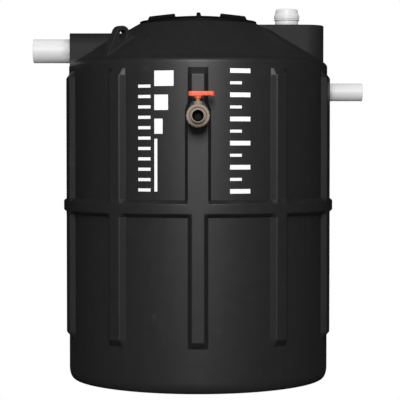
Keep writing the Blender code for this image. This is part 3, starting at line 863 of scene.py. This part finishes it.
def makeInletBoss():
    # an arch that runs out from the shoulder to the line of the wall
    length = boss["innerX"] - boss["outerX"]
    middle = (boss["innerX"] + boss["outerX"]) / 2
    place = (middle, 0, boss["height"])
    piece = addCylinder("inlet_boss_form", boss["steps"], boss["radius"], length, place, lyingAlongX)
    startEdit(piece)
    bpy.ops.mesh.bisect(
        plane_co=(0, 0, boss["height"]), plane_no=(0, 0, 1), use_fill=True, clear_inner=True)
    pickFaces(piece, lambda center, normal: normal.z < -0.9)
    extrudePicked((0, 0, boss["rootZ"] - boss["height"]))
    endEdit()
    tidyMesh(piece)
    place = (0, 0, boss["height"])
    drum = addCylinder("boss_end_drum", boss["drumSteps"], boss["endRadius"], boss["drumHeight"], place)
    joinOn(piece, drum, "INTERSECT")
    outerX, lowZ = boss["edgeFrom"]
    return bevelSharp(piece, boss["edge"], 40, lambda spot: spot.x < outerX and spot.z > lowZ)


tower = {
    "halfWidth": 0.085,
    "outerX": 0.5313,
    "innerX": 0.249,
    "topZ": 1.487,
    "rootZ": 1.300,
    "ventRadius": 0.049,
    "ventX": middleOf("vent_pipe", "X") - 0.004,
    "steps": 96,
    "edge": 0.0045,
    "edgeFrom": (0.255, 1.4),
}


def makeVentTower():
    # straight sides and a round outer end, standing on the shoulder
    endX = tower["outerX"] - tower["halfWidth"]
    height = tower["topZ"] - tower["rootZ"]
    place = (endX, 0, tower["rootZ"] + height / 2)
    piece = addCylinder("vent_tower_form", tower["steps"], tower["halfWidth"], height, place)
    startEdit(piece)
    bpy.ops.mesh.bisect(plane_co=(endX, 0, 0), plane_no=(1, 0, 0), use_fill=True, clear_inner=True)
    pickFaces(piece, lambda center, normal: normal.x < -0.9)
    extrudePicked((tower["innerX"] - endX, 0, 0))
    endEdit()
    tidyMesh(piece)
    innerX, lowZ = tower["edgeFrom"]
    return bevelSharp(piece, tower["edge"], 40, lambda spot: spot.z > lowZ and spot.x > innerX)


lug = {
    "azimuths": (-46.8, 133.2),
    "thickness": 0.034,
    "eye": (0.430, 1.428),
    "eyeRadius": 0.0185,
    "headRadius": 0.0375,
    "outerFoot": (0.523, 1.321),
    "innerFoot": (0.355, 1.412),
    "footDepth": 0.02,
    "headSteps": 48,
    "eyeSteps": 40,
    "edge": 0.004,
}


def makeLiftingLug(azimuth):
    # the head and the foot are wrapped in one hull, which is then drilled
    eyeReach, eyeZ = lug["eye"]
    outerRadius, outerZ = lug["outerFoot"]
    innerRadius, innerZ = lug["innerFoot"]
    thickness, depth = lug["thickness"], lug["footDepth"]
    place = (0, -eyeReach, eyeZ)
    piece = addCylinder(
        "lifting_lug_form", lug["headSteps"], lug["headRadius"], thickness, place, lyingAlongX)
    startEdit(piece)
    bpy.ops.mesh.primitive_cube_add(
        size=1, location=(0, -(outerRadius + innerRadius) / 2, outerZ - depth / 2),
        scale=(thickness, outerRadius - innerRadius, depth))
    pickVerts(piece, lambda spot: (
        abs(spot.y + innerRadius) < near["place"] and abs(spot.z - outerZ) < near["place"]))
    bpy.ops.transform.translate(value=(0, 0, innerZ - outerZ))
    bpy.ops.mesh.select_all(action="SELECT")
    bpy.ops.mesh.convex_hull(join_triangles=True)
    bpy.ops.mesh.dissolve_limited(angle_limit=math.radians(1))
    endEdit()
    drill = addCylinder("lug_drill", lug["eyeSteps"], lug["eyeRadius"], 4 * thickness, place, lyingAlongX)
    joinOn(piece, drill, "DIFFERENCE")
    bevelSharp(piece, lug["edge"], 40)
    piece.rotation_euler = (0, 0, math.radians(azimuth))
    return settle(piece)


fillet = {
    "width": 0.008,
    "segments": 3,
    "merge": 0.004,
    "turn": 12,
    "flat": 8,
    "shallow": 7,
    "room": 1.2,
    "long": 0.03,
    "lowest": 1.334,
    "heights": (1.318, 1.455),
    "radii": (0.256, 0.538),
    "touch": 0.0001,
    "close": 0.0003,
}


def isOnShoulder(edge):
    middle = edgeMiddle(edge)
    low, high = fillet["heights"]
    inner, outer = fillet["radii"]
    return low < middle.z < high and inner < middle.xy.length < outer


def isJoint(edge):
    # a hollow corner between the shoulder and what rises from it
    if edge.is_convex or not turnsMore(edge, fillet["turn"]) or not isOnShoulder(edge):
        return False
    return min(vert.co.z for vert in edge.verts) >= fillet["lowest"]


def isGrazing(edge, spots):
    # a long flat edge of the shoulder that passes within a fillet's width of a joint, or leaves it
    # almost along it
    if edge.calc_length() < fillet["long"] or len(edge.link_faces) != 2:
        return False
    if turnsMore(edge, fillet["flat"]) or not isOnShoulder(edge):
        return False
    ends = [vert.co for vert in edge.verts]
    way = ends[1] - ends[0]
    for spot in spots:
        share = (spot - ends[0]).dot(way) / way.length_squared
        gap = (spot - ends[0] - way * share).length
        along = share * way.length
        fromEnd = min(abs(along), abs(way.length - along))
        if gap < fillet["touch"] and fromEnd < fillet["touch"]:
            continue
        spread = fromEnd * math.tan(math.radians(fillet["shallow"]))
        if 0 < share < 1 and gap < min(fillet["width"] * fillet["room"], spread):
            return True
    return False


def softenJoints(piece):
    startEdit(piece)
    pickEdges(piece, isJoint)
    bpy.ops.mesh.select_mode(type="VERT")
    bpy.ops.mesh.remove_doubles(threshold=fillet["merge"])
    verts = bmesh.from_edit_mesh(piece.data).verts
    spots = [vert.co.copy() for vert in verts if any(map(isJoint, vert.link_edges))]
    pickEdges(piece, lambda edge: isGrazing(edge, spots))
    bpy.ops.mesh.dissolve_edges(use_verts=False)
    pickEdges(piece, isJoint)
    bpy.ops.mesh.bevel(
        offset=fillet["width"], segments=fillet["segments"], profile=0.5, affect="EDGES",
        clamp_overlap=False, loop_slide=False)
    endEdit()
    return piece


holes = {
    "fit": 0.0004,
    "depth": 0.009,
    "bottomReach": 0.004,
    "steps": 64,
}


def holeSpots():
    # where each pipe or hose passes through: radius, the outside end and the way in
    ribFaceY = -tankRadius - tank["relief"]
    return [
        (halfWidthOf("inlet_pipe", "Y"), (-boss["endRadius"], 0, boss["height"]), (1, 0, 0)),
        (halfWidthOf("outlet_pipe", "Y"), (tankRadius, 0, middleOf("outlet_pipe", "Z")), (-1, 0, 0)),
        (tower["ventRadius"], (tower["ventX"], 0, tower["topZ"]), (0, 0, -1)),
        (halfWidthOf("valve_stub", "X"), (0, ribFaceY, middleOf("valve_stub", "Z")), (0, 1, 0)),
    ]


def drillRound(piece, radius, start, end):
    # a round recess, whose bottom is opened later
    axis = (end - start).normalized()
    drill = addCylinder(
        "drill", holes["steps"], radius, (end - start).length, (start + end) / 2,
        axis.to_track_quat("Z", "Y").to_euler())
    joinOn(piece, drill, "DIFFERENCE")


def openHoles(piece):
    # round recesses are drilled, then their bottoms are taken out
    bottoms = [Vector((0, 0, flangeTop - tank["neckDepth"]))]
    for radius, mouth, inward in holeSpots():
        mouth, inward = Vector(mouth), Vector(inward)
        bottoms.append(mouth + inward * holes["depth"])
        drillRound(piece, radius + holes["fit"], mouth - inward * holes["depth"] * 2, bottoms[-1])

    def isBottom(center, normal):
        return any((center - bottom).length < holes["bottomReach"] for bottom in bottoms)

    startEdit(piece)
    pickFaces(piece, isBottom)
    bpy.ops.mesh.delete(type="ONLY_FACE")
    endEdit()
    return piece


def finishBody(piece):
    for form in [makeInletBoss(), makeVentTower()] + [makeLiftingLug(turn) for turn in lug["azimuths"]]:
        joinOn(piece, form)
    tidyMesh(piece)
    softenJoints(piece)
    openHoles(piece)
    startEdit(piece)
    bpy.ops.mesh.remove_doubles(threshold=fillet["close"])
    bpy.ops.mesh.dissolve_degenerate(threshold=fillet["close"])
    endEdit()
    return addModifier(piece, "SOLIDIFY", thickness=tank["skin"], offset=-1, use_even_offset=True)


tankBody = makeBodyForm()
roundRibs(tankBody)
finishBody(tankBody)
smoothOver(tankBody, tank["smoothBelow"])
mouldedNodes = [name for name in frame["nodes"] if name.startswith(("tank_", "wall_", "shoulder_"))]
mouldedNodes += ["hatch_neck", "inlet_boss", "vent_tower", "lifting_lug_front", "lifting_lug_rear"]
dress(tankBody, "tank", "tank_shell", *mouldedNodes)
print("moulded body", len(tankBody.data.polygons), "faces")


# hatch lid

lid = {
    "rimHeight": 0.011,
    "rimEdge": 0.003,
    "lowEdge": 0.0012,
    "domeRise": 0.025,
    "domeSink": 0.0016,
    "domeSteps": 14,
    "skin": 0.006,
    "spigotRadius": 0.217,
    "seatGap": 0.0003,
    "innerSteps": 8,
    "steps": 128,
    "gripTurns": (0.8, 57.5, 120, 180, 240, 298.5),
    "gripReach": (0.108, 0.236),
    "gripHeight": 0.0128,
    "gripWidths": (0.026, 0.0145),
    "gripSlope": 0.007,
    "gripRoot": 0.003,
    "gripEdge": 0.0026,
}
lidLow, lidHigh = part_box("hatch_lid")
lidRadius = lidHigh[0]
lidSeat = flangeTop + lid["seatGap"]
lidRimTop = lidSeat + lid["rimHeight"]


def domePoints(radius, low, rise, steps):
    # a shallow cap from the axis to its rim
    ball = (radius ** 2 + rise ** 2) / (2 * rise)
    spread = math.degrees(math.asin(radius / ball))
    return arcPoints((0, low + rise - ball), ball, 90, 90 - spread, steps)


def makeLidForm():
    edge, low = lid["rimEdge"], lid["lowEdge"]
    spigot = lid["spigotRadius"]
    inner = spigot - lid["skin"]
    rise = lid["domeRise"] - lid["domeSink"]
    outline = domePoints(lidRadius - edge * 0.7, lidRimTop, rise, lid["domeSteps"])
    outline += arcPoints((lidRadius - edge, lidRimTop - edge), edge, 60, 0, 4)
    outline += arcPoints((lidRadius - low, lidSeat + low), low, 0, -90, 3)
    outline += [(spigot, lidSeat), (spigot, lidLow[2] + low), (spigot - low, lidLow[2]), (inner, lidLow[2])]
    rise = lid["domeRise"] - lid["skin"]
    outline += reversed(domePoints(inner, lidSeat + lid["skin"], rise, lid["innerSteps"]))
    outline[0] = (0, outline[0][1])
    outline[-1] = (0, outline[-1][1])
    return turned("hatch_lid_shell", outline, lid["steps"], closed=False)


def makeGrip():
    # a ridge that tapers to its top and slopes at both ends
    start, end = lid["gripReach"]
    foot, crest = lid["gripWidths"]
    middle = (start + end) / 2
    length = end - start
    low = lidRimTop - lid["gripRoot"]
    freshStart()
    bpy.ops.mesh.primitive_cube_add(size=1, location=(0, -middle, low + 0.5), scale=(foot, length, 1))
    piece = settle(nameIt("lid_grip_form"))
    startEdit(piece)
    pickVerts(piece, lambda spot: spot.z > low + 0.5)
    shrink = (length - 2 * lid["gripSlope"]) / length
    bpy.ops.transform.resize(value=(crest / foot, shrink, 1), center_override=(0, -middle, 0))
    for side, radius in ((1, start + lid["gripSlope"]), (-1, end - lid["gripSlope"])):
        crown = lidRimTop + lid["domeRise"] * (1 - (radius / lidRadius) ** 2)
        pickVerts(piece, lambda spot: spot.z > low + 0.5 and (spot.y + middle) * side > 0)
        bpy.ops.transform.translate(value=(0, 0, crown + lid["gripHeight"] - low - 1))
    endEdit()
    return bevelSharp(piece, lid["gripEdge"], 20, lambda spot: spot.z > low + near["place"])


def turnedCopy(piece, turn):
    # a copy with its own mesh, turned about the tank's axis
    takeUp(piece)
    bpy.ops.object.duplicate()
    other = bpy.context.active_object
    other.rotation_euler = (0, 0, math.radians(turn))
    return settle(other)


def makeLid():
    piece = makeLidForm()
    grip = makeGrip()
    for turn in lid["gripTurns"]:
        joinOn(piece, turnedCopy(grip, turn))
    bpy.data.objects.remove(grip)
    tidyMesh(piece)
    smoothOver(piece, 42)
    return piece


dress(makeLid(), "lid", "lid_shell", "hatch_lid")
print("hatch lid")


# white pipes and the vent

pipes = {
    "inletSkin": 0.0032,
    "outletSkin": 0.0027,
    "ventSkin": 0.003,
    "inletTrim": 0.0075,
    "outletTrim": 0.0065,
    "beadTrim": 0.0020,
    "seamLift": 0.0036,
    "capTrim": 0.0045,
    "chamfer": 0.0018,
    "lip": 0.0006,
    "steps": 72,
    "collar": (0.0006, 0.018),
    "beadEdge": 0.0018,
    "crown": 0.009,
    "crownDip": 0.0012,
    "spigotGap": 0.0015,
    "spigotDepth": 0.030,
}


def pipeOutline(radius, skin, inside, outside, collarEnd):
    # a tube with a bevelled mouth and a slightly thicker stretch where it leaves the tank
    chamfer, lip = pipes["chamfer"], pipes["lip"]
    extra, collarLength = pipes["collar"]
    bore = radius - skin
    return [
        (bore, inside),
        (radius, inside),
        (radius, collarEnd - collarLength),
        (radius, collarEnd + collarLength),
        (radius - extra / 2, collarEnd + collarLength + extra),
        (radius - extra / 2, outside - chamfer * 1.6),
        (radius - extra, outside - chamfer),
        (radius - chamfer, outside),
        (bore + lip, outside),
        (bore, outside - lip),
    ]


def makeInletPipe():
    low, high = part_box("inlet_pipe")
    mouth = -low[0] - pipes["inletTrim"]
    outline = pipeOutline(high[1], pipes["inletSkin"], -high[0], mouth, boss["endRadius"])
    return turned("inlet_pipe_tube", outline, pipes["steps"], center=(0, 0, boss["height"]), axis="-X")


def makeOutletPipe():
    low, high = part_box("outlet_pipe")
    mouth = high[0] - pipes["outletTrim"]
    outline = pipeOutline(high[1], pipes["outletSkin"], low[0], mouth, tankRadius)
    middle = (0, 0, middleOf("outlet_pipe", "Z"))
    return turned("outlet_pipe_tube", outline, pipes["steps"], center=middle, axis="X")


def ventSizes():
    low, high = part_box("vent_pipe")
    return tower["ventX"], high[1] - pipes["beadTrim"], low[2], high[2] + pipes["seamLift"]


def makeVentPipe():
    middle, bead, low, seam = ventSizes()
    radius = tower["ventRadius"]
    bore = radius - pipes["ventSkin"]
    edge = pipes["beadEdge"]
    outline = [
        (bore, low),
        (radius, low),
        (radius, seam - 0.0095),
        (radius + 0.0008, seam - 0.0082),
        (bead - 0.0016, seam - 0.0062),
        (bead, seam - 0.0044),
        (bead, seam - edge),
        (bead - edge * 0.5, seam - 0.0002),
        (bead - edge, seam),
        (bore, seam),
    ]
    return turned("vent_pipe_tube", outline, pipes["steps"], center=(middle, 0, 0))


def makeVentCap():
    # a domed cap on a beaded foot, with a spigot inside the pipe
    middle, bead, low, seam = ventSizes()
    radius, skin = tower["ventRadius"], pipes["ventSkin"]
    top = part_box("vent_cap")[1][2] - pipes["capTrim"]
    edge, crown, dip = pipes["beadEdge"], pipes["crown"], pipes["crownDip"]
    spigot = radius - skin - pipes["spigotGap"]
    spigotEnd = seam - pipes["spigotDepth"]
    shoulder = (radius - 0.002 - crown, top - crown - dip)
    outline = [(0, top), (0.016, top - dip * 0.15), (0.028, top - dip * 0.5)]
    outline += arcPoints(shoulder, crown, 84, 4, 8)
    outline += [
        (radius + 0.0002, seam + 0.0205),
        (radius + 0.0010, seam + 0.0188),
        (bead - 0.0020, seam + 0.0168),
        (bead - 0.0004, seam + 0.0152),
        (bead, seam + 0.0135),
        (bead, seam + edge + 0.0006),
        (bead - edge * 0.4, seam + 0.0009),
        (bead - edge * 1.5, seam + 0.0004),
        (spigot, seam + 0.0003),
        (spigot, spigotEnd),
        (spigot - skin, spigotEnd),
        (spigot - skin, top - 0.007),
        (0, top - 0.004),
    ]
    return turned("vent_cap_shell", outline, pipes["steps"], center=(middle, 0, 0), closed=False)


for makePipe, pipeNode, pipeBody in (
        (makeInletPipe, "inlet_pipe", "tank"), (makeOutletPipe, "outlet_pipe", "tank"),
        (makeVentPipe, "vent_pipe", "tank"), (makeVentCap, "vent_cap", "cap")):
    dress(smoothOver(makePipe(), 30), pipeBody, "white_pipe", pipeNode)
print("white pipes and vent cap")


# sludge valve

valve = {
    "steps": 72,
    "flutes": 18,
    "fluteSteps": 8,
    "fluteForm": ((0.34, 0.984), (0.20, 0.994)),
    "nutRadius": 0.0457,
    "nutEdge": 0.0035,
    "recess": (0.0335, 0.0040),
    "rearRecess": 0.0005,
    "rearBore": 0.0253,
    "frontBore": 0.0273,
    "stubBore": 0.0212,
    "tailBore": 0.0222,
    "tailLip": 0.0016,
    "bodyRadius": 0.036,
    "bodySwell": 0.0038,
    "bodyEnds": (0.001, 0.007),
    "swelling": (
        (0.10, 0.25), (0.2, 0.62), (0.35, 0.93), (0.5, 1.0), (0.65, 0.93), (0.8, 0.62), (0.90, 0.25)),
    "neckRadius": 0.0165,
    "neckRoot": 0.006,
    "neckEdge": 0.0022,
    "neckSteps": 48,
    "stemGap": 0.0085,
    "stemSteps": 40,
    "drillPast": 0.01,
    "ballGap": (0.0293, 0.004, 0.0200),
}
valveZ = middleOf("valve_stub", "Z")
stemY = middleOf("valve_stem", "Y")


def outFrom(node):
    # how far forward a valve part starts and ends
    low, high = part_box(node)
    return -high[1], -low[1]


def aboutBore(name, outline, steps=valve["steps"]):
    return turned(name, outline, steps, center=(0, 0, valveZ), axis="-Y")


def makeUnionNut(name, node, bore, isFront):
    # a ring nut with hollow flutes pressed in between its grips
    back, front = outFrom(node)
    radius, edge = valve["nutRadius"], valve["nutEdge"]
    recessRadius, recessDepth = valve["recess"]
    if not isFront:
        recessDepth = valve["rearRecess"]
    outline = [
        (bore, back),
        (radius - edge, back),
        (radius - edge * 0.3, back + edge * 0.5),
        (radius, back + edge),
        (radius, front - edge * 1.6),
        (radius - edge * 0.3, front - edge * 0.6),
        (radius - edge * 1.2, front),
        (recessRadius + 0.0012, front),
        (recessRadius, front - 0.0010),
        (recessRadius - 0.0006, front - recessDepth),
        (bore, front - recessDepth),
    ]
    piece = aboutBore(name, outline, valve["flutes"] * valve["fluteSteps"])
    share = fullTurn / valve["flutes"]
    startEdit(piece)
    for reach, depth in valve["fluteForm"]:

        def inFlute(spot):
            away = Vector((spot.x, spot.z - valveZ))
            if away.length < radius - edge * 1.5:
                return False
            turn = math.atan2(away.y, away.x) % share
            return abs(turn - share / 2) < share * reach

        pickVerts(piece, inFlute)
        bpy.ops.transform.resize(value=(depth, 1, depth), center_override=(0, 0, valveZ))
    endEdit()
    return piece


def makeValveBody():
    # a swelling barrel with room for the ball, and a neck drilled for the stem
    back = outFrom("valve_rear_nut")[1] + 0.0003
    front = outFrom("valve_front_nut")[0] - 0.0003
    radius, bore = valve["bodyRadius"], valve["stubBore"]
    edge, land = valve["bodyEnds"]
    ballReach, ballFlat, ballEnd = valve["ballGap"]
    outline = [(bore, back), (radius - edge, back), (radius, back + edge), (radius, back + land)]
    for share, lift in valve["swelling"]:
        outline.append((radius + valve["bodySwell"] * lift, back + land + (front - back - 2 * land) * share))
    outline += [(radius, front - land), (radius, front - edge), (radius - edge, front), (bore, front)]
    outline += [(bore, -stemY + ballEnd), (ballReach, -stemY + ballFlat)]
    outline += [(ballReach, -stemY - ballFlat), (bore, -stemY - ballEnd)]
    piece = aboutBore("valve_body_shell", outline)
    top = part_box("valve_body")[1][2]
    base = valveZ + radius - valve["neckRoot"]
    place = (0, stemY, (top + base) / 2)
    neck = addCylinder("valve_neck_form", valve["neckSteps"], valve["neckRadius"], top - base, place)
    bevelSharp(neck, valve["neckEdge"], 60, lambda spot: spot.z > top - near["place"])
    joinOn(piece, neck)
    past = valve["drillPast"]
    place = (0, stemY, (top + valveZ) / 2 + past / 2)
    drill = addCylinder("stem_drill", valve["stemSteps"], valve["stemGap"], top - valveZ + past, place)
    joinOn(piece, drill, "DIFFERENCE")
    return tidyMesh(piece)


def makeTail():
    back, front = outFrom("valve_tail")
    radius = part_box("valve_tail")[1][0]
    bore, lip = valve["tailBore"], valve["tailLip"]
    outline = [(bore, back), (radius, back), (radius, front - lip)]
    outline += arcPoints((radius - lip, front - lip), lip, 0, 90, 4)[1:]
    outline += arcPoints((bore + lip, front - lip), lip, 90, 180, 4)
    return aboutBore("valve_tail_tube", outline)


def makeStub():
    back, front = outFrom("valve_stub")
    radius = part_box("valve_stub")[1][0]
    bore, edge = valve["stubBore"], valve["bodyEnds"][0]
    outline = [(bore, back), (radius - edge, back), (radius, back + edge), (radius, front), (bore, front)]
    return aboutBore("valve_stub_tube", outline)


def makeRearNut():
    return makeUnionNut("valve_rear_ring", "valve_rear_nut", valve["rearBore"], False)


def makeFrontNut():
    return makeUnionNut("valve_front_ring", "valve_front_nut", valve["frontBore"], True)


for makeFixed, fixedNode in (
        (makeStub, "valve_stub"), (makeTail, "valve_tail"), (makeValveBody, "valve_body"),
        (makeRearNut, "valve_rear_nut"), (makeFrontNut, "valve_front_nut")):
    dress(smoothOver(makeFixed(), 32), "tank", "brown_valve", fixedNode)
print("valve body and ring nuts")


# lever

handle = {
    "barEnds": (-0.0368, 0.0628),
    "barLow": 1.1697,
    "edge": 0.0026,
    "waist": 0.80,
    "hubRadii": (0.0112, 0.0180),
    "hubLift": 0.0050,
    "hubRoot": 0.004,
    "hubWidth": 0.42,
    "hubSteps": 48,
    "hubEdge": 0.0012,
    "cuts": (-0.021, -0.013, 0.013, 0.021, 0.034, 0.048),
    "endCuts": (0.009, -0.007),
    "taper": (0.66, 0.86),
    "taperAbove": 0.010,
    "waistReach": (0.020, 0.035, 0.049),
    "waistLift": 0.0022,
    "ridges": 3,
    "ridgeStart": 0.006,
    "ridgePitch": 0.0042,
    "ridgeDepth": 0.0009,
    "ridgeLength": 0.62,
    "ridgeSteps": 16,
    "socketSteps": 40,
    "socket": (0.0083, 1.1555, 0.0237),
}


def makeLeverBar(low, high):
    # a bar with a narrower waist beside the hub
    barLow = handle["barLow"]
    freshStart()
    bpy.ops.mesh.primitive_cube_add(
        size=1, location=((low[0] + high[0]) / 2, stemY, (barLow + high[2]) / 2),
        scale=(high[0] - low[0], high[1] - low[1], high[2] - barLow))
    piece = settle(nameIt("valve_lever_bar"))
    startEdit(piece)
    leftCut, rightCut = handle["endCuts"]
    for cut in (low[0] + leftCut, *handle["cuts"], high[0] + rightCut):
        bpy.ops.mesh.select_all(action="SELECT")
        bpy.ops.mesh.bisect(plane_co=(cut, 0, 0), plane_no=(1, 0, 0))
    pickVerts(piece, lambda spot: spot.x < low[0] + near["place"] or spot.x > high[0] - near["place"])
    flat, thin = handle["taper"]
    still = (0, stemY, barLow + handle["taperAbove"])
    bpy.ops.transform.resize(value=(1, flat, thin), center_override=still)
    start, middle, end = handle["waistReach"]
    pickVerts(piece, lambda spot: start < spot.x < middle)
    bpy.ops.transform.resize(value=(1, handle["waist"], 1), center_override=(0, stemY, 0))
    pickVerts(piece, lambda spot: start < spot.x < end and spot.z < barLow + near["place"])
    bpy.ops.transform.translate(value=(0, 0, handle["waistLift"]))
    endEdit()
    return bevelSharp(piece, handle["edge"], 30)


def makeHub(bottom, depth):
    # a foot that narrows downwards to the stem
    hubLow, hubHigh = handle["hubRadii"]
    height = handle["barLow"] + handle["hubRoot"] - bottom
    freshStart()
    bpy.ops.mesh.primitive_cone_add(
        vertices=handle["hubSteps"], radius1=hubLow, radius2=hubHigh, depth=height,
        location=(0, stemY, bottom + height / 2))
    hub = settle(nameIt("lever_hub_form"))
    startEdit(hub)
    pickVerts(hub, lambda spot: spot.z > bottom + near["place"])
    squeeze = min(1, depth * handle["hubWidth"] / hubHigh)
    bpy.ops.transform.resize(value=(1, squeeze, 1), center_override=(0, stemY, 0))
    endEdit()
    return bevelSharp(hub, handle["hubEdge"], 50, lambda spot: spot.z < bottom + near["place"], 2)


def makeLever():
    # the bar and its hub, ridged towards both ends and drilled for the stem
    low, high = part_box("valve_lever")
    low[0], high[0] = handle["barEnds"]
    depth = high[1] - low[1]
    piece = makeLeverBar(low, high)
    joinOn(piece, makeHub(low[2] + handle["hubLift"], depth))
    start, steps = handle["ridgeStart"], handle["ridgeSteps"]
    length = depth * handle["ridgeLength"]
    for end, way in ((low[0] + start, 1), (high[0] - start, -1)):
        for ridge in range(handle["ridges"]):
            place = (end + way * handle["ridgePitch"] * ridge, stemY, high[2])
            cutter = addCylinder("ridge_cutter", steps, handle["ridgeDepth"], length, place, lyingAlongY)
            joinOn(piece, cutter, "DIFFERENCE")
    radius, bottom, height = handle["socket"]
    place = (0, stemY, bottom + height / 2)
    drill = addCylinder("lever_drill", handle["socketSteps"], radius, height, place)
    joinOn(piece, drill, "DIFFERENCE")
    return tidyMesh(piece)


dress(smoothOver(makeLever(), 32), "handle", "orange_handle", "valve_lever")
print("lever")


# finishes of the CAD parts

for entry in frame["record"]["subparts"]:
    node = frame["nodes"][entry["node"]]
    node.data.materials.clear()
    node.data.materials.append(finishes[entry["material_slot"]])
